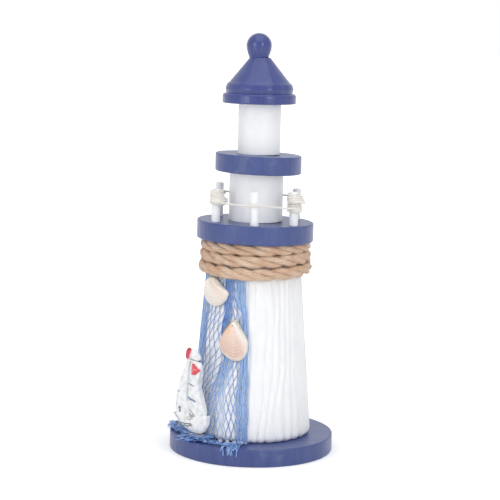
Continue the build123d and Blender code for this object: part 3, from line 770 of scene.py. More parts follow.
# %% String path
gallery_top = levels("gallery_disc")[1]
string_radius = 0.62
collar_radius = 2.75
string_slack = np.array((0.9, 0))
tie_angle = math.radians(90)
string_stops = (
    # post, turns, heights over the gallery along the wrap, and how far the string lies on turns below it
    ("back", 0, (12.8, 12.8), (0, 0)),
    ("back_left", 1, (15.4, 13), (0, 0)),
    (
        "front_left",
        16,
        (15.5, 18.8, 17.4, 15.9, 14.4, 13, 11.6, 10.6, 11.8, 13.2, 12.2),
        (0, 0, 0.2, 0.4, 0.6, 0.8, 1, 0.5, 1.5, 1.6, 1.6),
    ),
    ("front", 1, (11.6, 12.5), (0, 0)),
    (
        "front_right",
        15,
        (10.2, 8.4, 9.4, 10.6, 12, 14, 16, 18.6, 16.6, 14.8, 14),
        (0.6, 0.3, 0.7, 0.6, 0.3, 0.6, 0.4, 0, 0.8, 1.5, 1.7),
    ),
    ("back_right", 1, (13, 13.8), (0, 0)),
    ("back", 0, (14.2, 14.2), (0, 0)),
)


def leaving_angle(name, after):
    """Angle round a post, in radians, where the string leaves it on the outside."""
    way = posts[after][0] - posts[name][0]
    return math.atan2(way[1], way[0]) - math.pi / 2


string_spans = []
stop_names = [stop[0] for stop in string_stops]
for index, (name, turns, heights, layers) in enumerate(string_stops):
    last = leaving_angle(name, stop_names[index + 1]) if index + 1 < len(stop_names) else tie_angle
    first = leaving_angle(stop_names[index - 1], name) if index else tie_angle - 2 * math.pi
    last = first + (last - first) % (2 * math.pi) + 2 * math.pi * turns
    share = np.linspace(0, 1, max(8, int((last - first) / 0.16)))
    angle = first + (last - first) * share
    height = np.interp(share, np.linspace(0, 1, len(heights)), heights)
    layer = np.interp(share, np.linspace(0, 1, len(layers)), layers)
    height = height + 0.35 * np.sin(1.13 * angle + index) * np.minimum(1, turns / 10)
    collar = collar_radius + string_radius + layer + 0.1 * np.sin(5 * angle + index)
    centre, lean = posts[name]
    at = centre + lean * height[:, None] + string_slack * layer[:, None]
    ring = np.column_stack((
        at[:, 0] + collar * np.cos(angle), at[:, 1] + collar * np.sin(angle), gallery_top + height
    ))
    if string_spans:
        gap = ring[0] - string_spans[-1][-1]
        steps = np.linspace(0, 1, int(np.linalg.norm(gap) / 0.6))[1:-1, None]
        sag = np.array((0, 0, -0.35)) * 4 * steps * (1 - steps)
        string_spans.append(string_spans[-1][-1] + gap * steps + sag)
    string_spans.append(ring)
string_line = np.concatenate(string_spans)
string_length = run_along(string_line)[-1]
print(f"string {string_length:.0f} mm long")

# %% String plies
string_step = 0.32
ply_radius, ply_offset, ply_lay = 0.39, 0.27, 2.6
even = np.arange(0, string_length, string_step)
string_line = points_at(even, string_line)
string_line[:, 2] -= string_line[:, 0] * gallery_slope
string_way = unit(np.gradient(string_line, axis=0))
string_side = unit(np.cross(string_way, (0, 0, 1)))
string_lift = np.cross(string_side, string_way)
plies = []
for ply in range(2):
    lay = (2 * math.pi * even / ply_lay + math.pi * ply)[:, None]
    plies.append(string_line + ply_offset * (string_side * np.cos(lay) + string_lift * np.sin(lay)))
string_points, string_quads = tubes(np.array(plies), ply_radius, (0, 0, 1), 8)
print(f"{len(plies)} plies")

# %% Cotton material, string and knot
# undyed cotton is dull and off-white, with a soft bloom. Its fluff is finer than the render can show,
# so it is drawn this coarse
fluff_mm = 0.9
cotton, tree = new_tree("twisted undyed cotton")
place = add_node(tree, "ShaderNodeTexCoord", {}, {})
fluff = add_node(
    tree,
    "ShaderNodeTexNoise",
    {"Scale": 1 / (fluff_mm * mm), "Detail": 4},
    {"Vector": place.outputs["Object"]},
)
tone = add_node(
    tree,
    "ShaderNodeMix",
    {"data_type": "RGBA", 6: linear("#E2DED6"), 7: linear("#F1EEE8")},
    {0: fluff.outputs[0]},
)
bump = add_node(tree, "ShaderNodeBump", {"Strength": 0.5, "Distance": 0.1 * mm}, {"Height": fluff.outputs[0]})
surface = add_node(
    tree,
    "ShaderNodeBsdfPrincipled",
    {"Roughness": 0.9, "Specular IOR Level": 0.2, "Sheen Weight": 0.2},
    {"Base Color": tone.outputs[2], "Normal": bump.outputs[0]},
)
add_node(tree, "ShaderNodeOutputMaterial", {}, {"Surface": surface.outputs[0]})
add_piece("cotton_string", string_points, string_quads, cotton, "cotton_string", ["rail_cord"])
knot_low, knot_high = (np.array(corner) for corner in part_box("rail_cord_knot"))
knot_centre = (knot_low + knot_high) / 2 / mm
knot_size = 0.62
knot_turn = np.linspace(0, 2 * math.pi, 160)
trefoil = np.column_stack((
    np.sin(knot_turn) + 2 * np.sin(2 * knot_turn),
    -np.sin(3 * knot_turn) * 0.9,
    np.cos(knot_turn) - 2 * np.cos(2 * knot_turn),
)) * knot_size
knot_points, knot_quads = tubes(trefoil[None] + knot_centre, 0.6, (0.1, 1, 0.2), 8)
add_piece("cotton_knot", knot_points, knot_quads, cotton, "cotton_string", ["rail_cord_knot"])
tail_length = 7
tail_share = np.linspace(0, 1, 40)[:, None]
tails = [
    np.column_stack((side * (1 + 2 * tail_share), 0.9 + 0 * tail_share, -tail_length * tail_share**1.3 + 0.4))
    for side in (-0.8, 0.8)
]
tail_points, tail_quads = tubes(np.array(tails) + knot_centre, 0.5, (0, 1, 0.1), 8)
add_piece("cotton_knot_tails", tail_points, tail_quads, cotton, "cotton_string", [])

# %% [markdown]
# ## Fishing net
#
# A piece of blue nylon net hangs down the tower from under the rope. It could be a flat sheet with holes
# cut in it, but then its strands would have no roundness and no knots. So each is a tube. It zigzags and
# meets its neighbours at the knots, and open diamonds about four and a half by ten millimetres show
# between them. At both edges and down one band in the middle the net is drawn together and looks solid.
# The open part on the left hangs aslant and straightens low down. At the foot the net spreads over the
# base and ends in a frayed, cut edge with one tuft over the rim.

# %% Net regions
net_levels = base_top + np.array((-2, 8.4, 14.4, 21.4, 28.4, 42.4, 50.4, 67.4, 76.4, 85.4, 98.4))
net_edges = np.radians(np.array((
    # degrees at each level: right edge, right band's end, middle band's right and left ends, left band's
    # start, left edge
    (-93.8, -103.5, -117, -138, -160, -184),
    (-93.6, -104, -117.5, -138, -160, -184),
    (-92.9, -104.6, -118, -137.5, -160, -184),
    (-93.2, -106, -119, -137, -160, -184),
    (-93.6, -106.5, -119.5, -135.5, -159, -184),
    (-94.3, -102.7, -115.4, -126.2, -158.5, -184),
    (-94.7, -103.2, -110.7, -121, -158, -184),
    (-95.7, -103.5, -120, -127, -157, -184),
    (-97.3, -103.1, -115.9, -123.5, -152.1, -184),
    (-99.3, -110.9, -117, -124.9, -152, -184),
    (-100.5, -111, -117, -125, -152, -184),
)))
fray_reach = np.array((
    # degrees, and how far out the net's cut edge lies on the base
    (-198, 48.5), (-190, 49.5), (-182, 49.5), (-172, 47.5), (-164, 45), (-150, 44.5), (-142, 44.5),
    (-130, 45.5), (-122, 45.5), (-111, 46.5), (-106, 45), (-102, 42), (-96, 38.5), (-90, 37.5),
))
net_counts = (17, 5, 7, 8, 16)
edge_bands, middle_band, slanted = (0, 4), 2, 3
mesh_height = 10.4
net_top, net_foot = 108.4, base_top + 1.6
drape_height = np.arange(net_top, net_foot, -0.6)
edges_at = np.column_stack([np.interp(drape_height, net_levels, edge) for edge in net_edges.T])
# the slanted region drifts by this many columns with each mesh, down to the height where the slant ends,
# and takes its extra columns from the band beside it
slant_columns, slant_end = 1.3, 36.4
slant_extra = math.ceil(slant_columns * (net_top - slant_end) / mesh_height)
net_columns = [
    (region, column)
    for region, count in enumerate(net_counts)
    for column in range(-slant_extra if region == slanted else 0, count)
]
print(f"{len(net_columns)} columns in {len(net_counts)} regions")

# %% Net strands
net_draw = np.random.default_rng(21)
spread_steps, strand_net_sides = 14, 6


def zigzag(turns):
    """Wave that climbs from -1 to 1 and falls again in straight lines, once a turn."""
    return 4 * np.abs(turns % 1 - 0.5) - 1


net_strands = []
net_radii = []
strand_tone_and_light_lists = []
out = np.linspace(0, 1, spread_steps)
radius = tower_radius(drape_height)
fallen = net_top - np.maximum(drape_height, slant_end)
for region, column in net_columns:
    count = net_counts[region]
    at_edge = region in edge_bands
    dense = at_edge or region == middle_band
    # down the tower
    aside = slant_columns * fallen / mesh_height if region == slanted else 0 * drape_height
    at = np.clip((column + 0.5 + aside) / count, 0, 1)
    width = edges_at[:, region + 1] - edges_at[:, region]
    angle = edges_at[:, region] + width * at
    open_share = 1 if dense else np.clip(np.minimum(at, 1 - at) * count * 2, 0, 1)
    shift = 0.5 * (column % 2) + net_draw.normal(0, 0.15 if at_edge else 0.02)
    wave = zigzag(drape_height / mesh_height + shift) * open_share
    swing = 0.53 * width / count
    drift = np.convolve(net_draw.normal(0, 1, len(drape_height) + 24), np.hanning(25) / 5, "valid")
    stray = drift * (0.34 if at_edge else 0.42 - 0.32 * open_share) / radius
    lift = 0.34 + net_draw.uniform(0, 0.9) if dense else 0.2 + 0.08 * (column % 2)
    lift = lift + (0.12 if dense else 0.05) * np.sin(drape_height / 3 + column)
    drape = polar(radius + lift, angle + swing * wave + stray, drape_height)
    # out over the base
    foot_angle = angle[-1] + swing[-1] * wave[-1] + stray[-1]
    spread_angle = foot_angle + np.radians(net_draw.normal(-1.5, 3.0)) * out
    end_reach = np.interp(np.degrees(foot_angle), *fray_reach.T) + net_draw.normal(0, 0.7)
    start_reach = radius[-1] + lift[-1] + 0.5
    spread_radius = start_reach + (max(end_reach, start_reach + 1) - start_reach) * out
    spread_angle = spread_angle + 0.7 / spread_radius * np.sin(out * net_draw.uniform(5, 9) + 6 * shift)
    spread_height = base_top + 0.55 + net_draw.uniform(0, 0.5) + 0.3 * np.sin(out * 7 + 6 * shift) * out
    net_line = np.concatenate((drape, polar(spread_radius, spread_angle, spread_height)))
    net_strands.append(net_line)
    # thickness, with knots where the zigzags meet
    knot = np.concatenate((np.clip(np.abs(wave), 0, 1) ** 10, np.zeros(spread_steps)))
    thick = 0.24 if dense else 0.18
    if region == middle_band:
        thick = np.interp(net_line[:, 2], (28, 46), (0.22, 0.36))
    net_radii.append(thick + 0.08 * knot * (not dense))
    # tone, deeper at the top of the middle band and near the base; paler on the dense bands, a painted sheen,
    # and darker where it lies on the base, a painted shade
    deep = np.clip((drape_height - 70) / 20, 0, 1) * (region == middle_band)
    deep = deep + 0.35 * np.clip((30 - drape_height) / 15, 0, 1)
    shade = net_draw.uniform(0.3, 1) if dense else net_draw.uniform(0.05, 0.4)
    strand_tone_and_light_lists.append(np.concatenate((np.clip(shade - 0.7 * deep, 0, 1), np.full(spread_steps, shade * 0.4))))
net_strands = np.array(net_strands)
net_radii = np.array(net_radii)[..., None]
net_out = unit(net_strands * (1, 1, 0)) + (0, 0, 0.35)
strand_mesh = tubes(net_strands, net_radii, net_out, strand_net_sides)
strand_tone_sheen_and_shade = np.repeat(np.concatenate(strand_tone_and_light_lists), strand_net_sides)
print(f"{len(net_strands)} net strands")

# %% Frayed edge
thread_steps, thread_sides, thread_radius = 7, 5, 0.25
share = np.linspace(0, 1, thread_steps)[None, :]
fray_count = 330
loose_from = np.radians(-164)
fray_angle = np.radians(net_draw.uniform(-193, -97, fray_count))
more_left = net_draw.random(fray_count) < 0.25
fray_angle = np.where(more_left, np.radians(net_draw.uniform(-192, -165, fray_count)), fray_angle)
fray_start = np.interp(np.degrees(fray_angle), *fray_reach.T) - net_draw.uniform(0, 3, fray_count)
loose_way = net_draw.normal(0, 0.9, fray_count)
tidy_way = net_draw.choice((-1.3, 1.3), fray_count) + net_draw.normal(0, 0.5, fray_count)
fray_way = fray_angle + np.where(fray_angle < loose_from, loose_way, tidy_way)
fray_length = net_draw.uniform(1.3, 3.2, fray_count)
fray_root = polar(fray_start, fray_angle, base_top + 0.7 + net_draw.uniform(0, 0.9, fray_count))
fray_bend = net_draw.normal(0, 0.35, fray_count)[:, None] * share
fray_rise = net_draw.uniform(-0.2, 1.0, fray_count)[:, None] * share
fray = fray_root[:, None] + polar(fray_length[:, None] * share, fray_way[:, None] + fray_bend, fray_rise)
past_rim = np.maximum(np.hypot(fray[..., 0], fray[..., 1]) - base_radius, 0)
fray[..., 2] -= past_rim * 0.5
fray_mesh = tubes(fray, thread_radius, (0, 0.1, 1), thread_sides)
print(f"{fray_count} frayed threads")

# %% Bunch under the boat, and tuft over the rim
boat_stand = np.array((-32.0, -29.3, 0))
bunch_count = 150
thread_step = 0.9
bunch_root = boat_stand + net_draw.normal(0, 1, (bunch_count, 3)) * (3.4, 2.2, 0)
bunch_root[:, 2] = base_top + 0.6 + net_draw.random(bunch_count) * 2.2
bunch_way = net_draw.uniform(0, 2 * math.pi, bunch_count)[:, None]
bunch_way = bunch_way + net_draw.normal(0, 1.2, bunch_count)[:, None] * share
bunch_step = polar(thread_step, bunch_way, net_draw.normal(0, 0.12, bunch_count)[:, None])
bunch = bunch_root[:, None] + np.cumsum(bunch_step, axis=1)
bunch[..., 2] = np.maximum(bunch[..., 2], base_top + 0.3)
bunch_mesh = tubes(bunch, thread_radius, (0.05, 0.1, 1), thread_sides)
tuft_count, tuft_steps, tuft_sides = 16, 18, 6
tuft_root = 42
tuft_turn = base_radius - tuft_root + 0.4
tuft_share = np.linspace(0, 1, tuft_steps)[None, :]
tuft_start = np.radians(np.linspace(-98.5, -108.5, tuft_count))[:, None]
tuft_end = tuft_start + np.radians(net_draw.normal(-0.5, 1.6, tuft_count))[:, None]
tuft_run = net_draw.uniform(9.5, 13.5, tuft_count)[:, None] * tuft_share
tuft_lift = net_draw.uniform(0.5, 1.3, tuft_count)[:, None]
over_rim = np.maximum(tuft_run - tuft_turn, 0)
tuft_radius = tuft_root + np.minimum(tuft_run, tuft_turn) + 0.9 * np.tanh(over_rim)
tuft_angle = tuft_start + (tuft_end - tuft_start) * tuft_share
tuft_angle = tuft_angle + 0.012 * np.sin(6 * tuft_share + tuft_lift * 9)
tuft = polar(tuft_radius, tuft_angle, base_top + tuft_lift - over_rim * 0.95)
tuft_mesh = tubes(tuft, 0.29, unit(tuft * (1, 1, 0)) + (0, 0, 0.6), tuft_sides)
fray_tone = net_draw.random(fray_count).repeat(thread_steps * thread_sides) * 0.8
# painted shade: the threads under the boat are drawn darker
bunch_shaded_tone = net_draw.random(bunch_count).repeat(thread_steps * thread_sides) * 0.3
tuft_tone = net_draw.random(tuft_count).repeat(tuft_steps * tuft_sides) * 0.5
print(f"{bunch_count} threads in the bunch, {tuft_count} in the tuft")

# %% Nylon material and net piece
# nylon twine has a slight gloss, and the turns of its twist catch the light as paler specks. The real
# twist is finer than the render can show, so the specks are drawn this coarse
twist_mm = 0.7
nylon, tree = new_tree("twisted blue nylon twine")
# the tone attribute holds the strands' tone, with painted sheen on the dense bands and painted shade on the
# base and under the boat
tint = add_node(tree, "ShaderNodeAttribute", {"attribute_name": "tone"}, {})
place = add_node(tree, "ShaderNodeTexCoord", {}, {})
twist = add_node(
    tree,
    "ShaderNodeTexNoise",
    {"Scale": 1 / (twist_mm * mm), "Detail": 2},
    {"Vector": place.outputs["Object"]},
)
tone = add_node(
    tree,
    "ShaderNodeMix",
    {"data_type": "RGBA", 6: linear("#4F7FC8"), 7: linear("#B4D2F5")},
    {0: tint.outputs["Fac"]},
)
glint = add_node(
    tree, "ShaderNodeMapRange", {"From Min": 0.4, "From Max": 0.8, "To Max": 0.5}, {"Value": twist.outputs[0]}
)
colour = add_node(
    tree,
    "ShaderNodeMix",
    {"data_type": "RGBA", 7: linear("#C6DDF6")},
    {0: glint.outputs[0], 6: tone.outputs[2]},
)
surface = add_node(
    tree,
    "ShaderNodeBsdfPrincipled",
    {"Roughness": 0.4, "IOR": 1.53},
    {"Base Color": colour.outputs[2]},
)
add_node(tree, "ShaderNodeOutputMaterial", {}, {"Surface": surface.outputs[0]})
net_meshes = (strand_mesh, fray_mesh, bunch_mesh, tuft_mesh)
net_starts = np.cumsum([0] + [len(points) for points, _ in net_meshes])
net_points = np.concatenate([points for points, _ in net_meshes])
net_quads = np.concatenate([quads + start for (_, quads), start in zip(net_meshes, net_starts)])
net_tone_and_light = np.concatenate((strand_tone_sheen_and_shade, fray_tone, bunch_shaded_tone, tuft_tone))
net = add_piece("nylon_net", net_points, net_quads, nylon, "net_nylon", ["fishing_net"], tone=net_tone_and_light)

# %% [markdown]
# ## Shells
#
# Two real half shells are glued over the net with the hollow side inwards. They could be sculpted by hand,
# but a shell grows outwards from its umbo, so its mesh is a fan of rays from there: ribs run along the
# rays and growth lines across them, and the colours follow both. The upper one is worn smooth and cream,
# the lower one is ribbed and peach.


# %% Shell shape
def tower_face(angle):
    """Three axes on the tower's face at an angle: across, up and outward."""
    angle = math.radians(angle)
    slope = (foot_radius - top_radius) / (tower_high - tower_low)
    outward = unit(np.array((math.cos(angle), math.sin(angle), slope)))
    across = np.array((-math.sin(angle), math.cos(angle), 0))
    return across, np.cross(outward, across), outward


def even_outline(corners, count):
    """Points at even steps round a smoothed outline, from its first corner to the same corner again."""
    points = np.array(corners, float)
    points = np.concatenate((points, points[:1]))
    for _ in range(3):
        cut = np.stack((0.75 * points[:-1] + 0.25 * points[1:], 0.25 * points[:-1] + 0.75 * points[1:]), 1)
        points = np.concatenate((points[:1], cut.reshape(-1, 2), points[-1:]))
    return points_at(np.linspace(0, run_along(points)[-1], count), points)


def shell_mesh(corners, crown, ribs, rib_depth, growth_depth, seed):
    """Points (across, up, outward), quads, and shares: growth from the umbo, across the fan, rib and line."""
    rays, rings = 321, 110
    margin = even_outline(corners, rays)
    umbo = margin[0]
    fan = np.linspace(-1, 1, rays)[None, :]
    grown = np.linspace(0.02, 1, rings)[:, None]
    uneven = 1 + 0.01 * np.sin(9 * fan + seed) * grown
    flat = umbo + (margin - umbo)[None] * (grown * uneven)[..., None]
    across_fan = (1 - np.abs(fan) ** 2.5) ** 0.5
    dome = np.sin(grown**0.7 * math.pi) ** 0.55 * across_fan
    rib = np.abs(np.cos(ribs * fan * math.pi / 2)) ** 0.8 + 0 * grown
    line = np.sin(2 * math.pi * (grown**1.5 * 10 + 0.08 * np.sin(4 * fan + seed)))
    relief = rib_depth * (rib - 0.5) + growth_depth * line
    outward = crown * dome + relief * np.clip(dome * 3, 0, 1) * grown
    points = np.concatenate((flat, outward[..., None]), -1).reshape(-1, 3)
    shares = [np.broadcast_to(values, (rings, rays)).ravel() for values in (grown, fan, rib, line)]
    return points, grid_quads(rings, rays, False), shares


def painted(ground, coats):
    """Colour at each point: a ground, and over it coats of (colour, share at each point) in their order."""
    colours = np.tile(linear(ground), (len(coats[0][1]), 1))
    for colour, share in coats:
        colours = colours + (np.array(linear(colour)) - colours) * np.clip(share, 0, 1)[:, None]
    return colours


# %% Shell materials
# shell is hard and lets a little light in: a satin lustre, chalky specks, and colours that follow its growth
speck_mm = 1.6


def shell_material(name):
    """Shell: the colour painted on its points, chalky specks and a satin lustre."""
    material, tree = new_tree(name)
    coat = add_node(tree, "ShaderNodeAttribute", {"attribute_name": "paint"}, {})
    place = add_node(tree, "ShaderNodeTexCoord", {}, {})
    speck = add_node(
        tree,
        "ShaderNodeTexNoise",
        {"Scale": 1 / (speck_mm * mm), "Detail": 5},
        {"Vector": place.outputs["Object"]},
    )
    chalk = add_node(
        tree,
        "ShaderNodeMapRange",
        {"From Min": 0.45, "From Max": 0.75, "To Max": 0.3},
        {"Value": speck.outputs[0]},
    )
    colour = add_node(
        tree,
        "ShaderNodeMix",
        {"data_type": "RGBA", 7: linear("#EFE8E0")},
        {0: chalk.outputs[0], 6: coat.outputs["Color"]},
    )
    bump = add_node(
        tree, "ShaderNodeBump", {"Strength": 0.4, "Distance": 0.1 * mm}, {"Height": speck.outputs[0]}
    )
    surface = add_node(
        tree,
        "ShaderNodeBsdfPrincipled",
        {"Roughness": 0.45, "IOR": 1.6, "Subsurface Weight": 0.1, "Subsurface Scale": 0.6 * mm},
        {"Base Color": colour.outputs[2], "Normal": bump.outputs[0]},
    )
    add_node(tree, "ShaderNodeOutputMaterial", {}, {"Surface": surface.outputs[0]})
    return material


cream = shell_material("worn cream clam shell")
peach = shell_material("ribbed peach cockle shell")
print("two shell materials")

# %% Two shells
clam = (
    # outline from the umbo down the left side, in mm across and up
    (-4.6, 8.8), (-6.2, 6.6), (-8, 3.2), (-8.6, -0.2), (-7.7, -4.1), (-4.8, -7.4), (-0.6, -8.7), (3.4, -7.6),
    (7.2, -4.6), (9.3, -0.6), (9.2, 1.4), (6.8, 2.9), (4.1, 4.4), (1.7, 6.6), (-0.7, 8.4), (-2.9, 9.1),
)
cockle = (
    (0, 11.5), (-1.9, 9.6), (-4.4, 6.6), (-7, 3.2), (-8.8, -0.4), (-9.2, -3.4), (-8.2, -6.4), (-6, -9.4),
    (-2.8, -11.5), (1.2, -12.3), (4.7, -11.6), (6.8, -9.9), (8.4, -6.8), (8.9, -3), (8.4, 0.4), (6.8, 3.6),
    (4.8, 6.8), (3, 9.6), (1.4, 11.3),
)
shell_wall = 0.8
shells = {
    # name: (CAD node, material, slot), (degrees round the tower, height, degrees that it faces, stand-off),
    #       (outline, crown, ribs, rib depth, depth of the growth lines)
    "cream_shell": (
        ("shell_upper", cream, "cream_shell"), (-136.5, 98.8, -126, 2), (clam, 4.6, 14, 0.1, 0.09)
    ),
    "peach_shell": (
        ("shell_lower", peach, "peach_shell"), (-110.2, 71.9, -108, 1.2), (cockle, 5, 34, 0.24, 0.14)
    ),
}
for seed, (name, (identity, seat, shape)) in enumerate(shells.items()):
    node, material, slot = identity
    angle, height, facing, stand_off = seat
    local, quads, (grown, fan, rib, line) = shell_mesh(*shape, seed)
    place = polar(tower_radius(height) + stand_off, math.radians(angle), height)
    across, upward, outward = tower_face(facing)
    points = place + local[:, :1] * across + local[:, 1:2] * upward + local[:, 2:] * outward
    if material == peach:
        blush = np.exp(-((grown - 0.3) / 0.15) ** 2 - ((fan + 0.5) / 0.3) ** 2)
        dark_spot = np.exp(-((local[:, 0] + 0.4) / 0.45) ** 2 - ((local[:, 1] - 9) / 0.45) ** 2)
        paint = painted("#E9D3C5", [
            ("#CF977D", 0.7 * (1 - rib) * np.clip(2 * grown - 0.3, 0, 1)),
            ("#D79F86", 0.5 * np.clip(line, 0, 1) * np.clip(4 * grown - 2, 0, 1)),
            ("#EDB680", 0.9 * blush),
            ("#F4EFE6", 0.9 * np.clip((fan - 0.2) / 0.25, 0, 1)),
            ("#F3E8DB", 0.7 * np.clip((grown - 0.88) / 0.08, 0, 1)),
            ("#F0EFEA", np.clip((0.14 - grown) / 0.06, 0, 1)),
            ("#6B6A60", dark_spot),
        ])
    else:
        pink_ray = np.exp(-((fan - 0.25) / 0.16) ** 2)
        pale_side = np.clip((fan - 0.3) / 0.25, 0, 1)
        paint = painted("#EFE7DD", [
            ("#DDB9A8", 0.6 * pink_ray * np.clip(1.3 - grown, 0, 1)),
            ("#CDBBAA", 0.28 * np.clip(line, 0, 1)),
            ("#F5F1EA", 0.9 * pale_side * np.clip(2 * grown - 0.8, 0, 1)),
        ])
    shell = add_piece(name, points, quads, material, slot, [node], paint=paint)
    wall = shell.modifiers.new("wall", "SOLIDIFY")
    wall.thickness = shell_wall * mm
    wall.offset = 1

# %% [markdown]
# ## Boat
#
# The little sailing boat is one resin casting with soft edges, painted by hand. Its parts could be left as
# separate pieces, but sharp seams between them would give it away. So a hull, a mast and pillow-shaped
# sails and flags are fused and smoothed as the casting is. It is then painted by place: two red pennants,
# one with a painted highlight, a few dark brush strokes, a grey stroke of painted shade along the mast,
# and soft waves of grey.


# %% Boat parts
def pillow(corners, thickness, middle):
    """A closed pillow on a smoothed outline (along, up): points (along, up, out) and faces."""
    outline = np.array(corners, float)
    for _ in range(2):
        after = np.roll(outline, -1, axis=0)
        outline = np.stack((0.75 * outline + 0.25 * after, 0.25 * outline + 0.75 * after), 1).reshape(-1, 2)
    centre = outline.mean(0)
    shares = (0.12, 0.4, 0.65, 0.84, 0.95, 1, 0.95, 0.84, 0.65, 0.4, 0.12)
    points = []
    for index, share in enumerate(shares):
        rise = thickness / 2 * math.sqrt(max(0, 1 - share**4)) * (1 if index < len(shares) // 2 else -1)
        ring = centre + (outline - centre) * share
        points.append(np.column_stack((ring, np.full(len(ring), middle + rise))))
    count = len(outline)
    faces = grid_quads(len(shares), count, True).tolist()
    faces += [list(range(count))[::-1], list(range((len(shares) - 1) * count, len(shares) * count))]
    return np.concatenate(points), faces


def hull():
    """The hull: sections from bow to stern, each round from rail to rail, and a deck."""
    sections, ribs = 40, 24
    bow, stern = -12.4, 12.1
    along = np.linspace(bow, stern, sections)
    share = (along - bow) / (stern - bow)
    keel_places = (bow, -10.3, -8.7, -2.9, 1, 4.6, 8, 10.4, stern)
    keel = np.interp(along, keel_places, (10, 8.3, 6.9, 2.7, 0.8, 0, 0.7, 2.4, 5.6))
    rail = np.interp(along, (bow, 0, stern), (11.4, 10.2, 11.8))
    half = 3.8 * np.interp(share, (0, 0.15, 0.45, 0.8, 1), (0.1, 0.62, 1, 0.92, 0.6))
    turn = np.linspace(0, math.pi, ribs)
    points = []
    for place, low, high, wide in zip(along, keel, rail, half):
        height = high - (high - low) * np.sin(turn) ** 0.8
        points.append(np.column_stack((np.full(ribs, place), height, wide * np.cos(turn))))
    faces = grid_quads(sections, ribs, False).tolist()
    starts = range(0, (sections - 1) * ribs, ribs)
    deck = [[start, start + ribs, start + 2 * ribs - 1, start + ribs - 1] for start in starts]
    ends = [list(range(ribs)), list(range((sections - 1) * ribs, sections * ribs))[::-1]]
    return np.concatenate(points), faces + deck + ends


def mast(low, high, radius, place):
    """An upright rod: points (along, up, out) and faces."""
    sides = 12
    turn = np.linspace(0, 2 * math.pi, sides, endpoint=False)
    along, out = place + radius * np.cos(turn), radius * np.sin(turn)
    rings = [np.column_stack((along, np.full(sides, height), out)) for height in (low, high)]
    ends = [list(range(sides))[::-1], list(range(sides, 2 * sides))]
    return np.concatenate(rings), grid_quads(2, sides, True).tolist() + ends


main_sail = (
    (-2.6, 8), (11.9, 11), (9.9, 16), (7, 24.5), (5.7, 31), (5.8, 35), (7.7, 39.5), (6.5, 44.6), (-1.9, 44.8),
)
fore_sail = (
    (-2.4, 8.5), (-10.8, 10.6), (-10.6, 18), (-9.4, 25.7), (-7, 34), (-4.6, 40.5), (-2.6, 44.8), (-1.6, 44),
)
top_sail = ((-2.2, 42.6), (-0.6, 51.3), (1.7, 51.6), (4.3, 49.6), (6.5, 46.6), (6.3, 43.4))
mast_pennant = ((-3.7, 45.2), (-3.4, 49.8), (-2.2, 52.2), (-0.4, 51.8), (-0.4, 47.4), (-1.9, 44.8))
sail_pennant = ((1, 36), (1.2, 43.6), (3.6, 43.4), (7.2, 40.2), (7, 38.6), (4.2, 36))
boat_parts = [
    hull(),
    mast(7, 49, 1.4, -2.2),
    # outline, thickness, and how far out its middle lies
    pillow(main_sail, 5, 0.2),
    pillow(fore_sail, 4.6, 0.2),
    pillow(top_sail, 3.2, 0.3),
    pillow(mast_pennant, 3.6, 0.9),
    pillow(sail_pennant, 2.2, 2.3),
]
print(f"{len(boat_parts)} parts of the boat")

# %% Boat casting
voxel_mm = 0.28
part_points = np.concatenate([points for points, _ in boat_parts])
part_faces = []
start = 0
for points, faces in boat_parts:
    part_faces += [[index + start for index in face] for face in faces]
    start += len(points)
cast = bpy.data.meshes.new("boat_parts")
cast.from_pydata((part_points * mm).tolist(), [], part_faces)
mould = bpy.data.objects.new("boat_parts", cast)
bpy.context.scene.collection.objects.link(mould)
fuse = mould.modifiers.new("fuse", "REMESH")
fuse.mode = "VOXEL"
fuse.voxel_size = voxel_mm * mm
soften = mould.modifiers.new("soften", "SMOOTH")
soften.factor = 0.5
soften.iterations = 5
casting = bpy.data.meshes.new_from_object(mould.evaluated_get(bpy.context.evaluated_depsgraph_get()))
bpy.data.objects.remove(mould)
local = np.empty(len(casting.vertices) * 3, np.float32)
casting.vertices.foreach_get("co", local)
local = local.reshape(-1, 3).astype(float) / mm
casting_faces = [list(polygon.vertices) for polygon in casting.polygons]
print(f"boat casting of {len(local)} points, {np.ptp(local, axis=0).round(1)} mm")

# %% [markdown]
# ### Boat paint
#
# The colours sit on the points of the casting, which are closer than the thinnest brush stroke, so no
# unwrapping is needed. A stroke is everything within its width of a line drawn on the boat's side. Most
# strokes are plain marks, but the grey one along the mast is painted shade, and three pale lines on the
# red flag are a painted highlight.

# %% Boat paint
along, upward, out = local.T
soft_edge = 0.25


def stroke(start, end, width):
    """Share of paint at each point from a brush stroke between two places on the boat's side."""
    start, end = np.array(start), np.array(end)
    way = end - start
    share = np.clip(((along - start[0]) * way[0] + (upward - start[1]) * way[1]) / (way @ way), 0, 1)
    distance = np.hypot(along - start[0] - share * way[0], upward - start[1] - share * way[1])
    return np.clip((width - distance) / soft_edge + 0.5, 0, 1)


def within(corners):
    """Share of paint at each point from a filled outline, its corners against the clock."""
    share = np.ones(len(local))
    for (start_x, start_y), (end_x, end_y) in zip(corners, corners[1:] + corners[:1]):
        length = math.hypot(end_x - start_x, end_y - start_y)
        inside = ((end_x - start_x) * (upward - start_y) - (end_y - start_y) * (along - start_x)) / length
        share = np.minimum(share, np.clip(inside / soft_edge + 0.5, 0, 1))
    return share


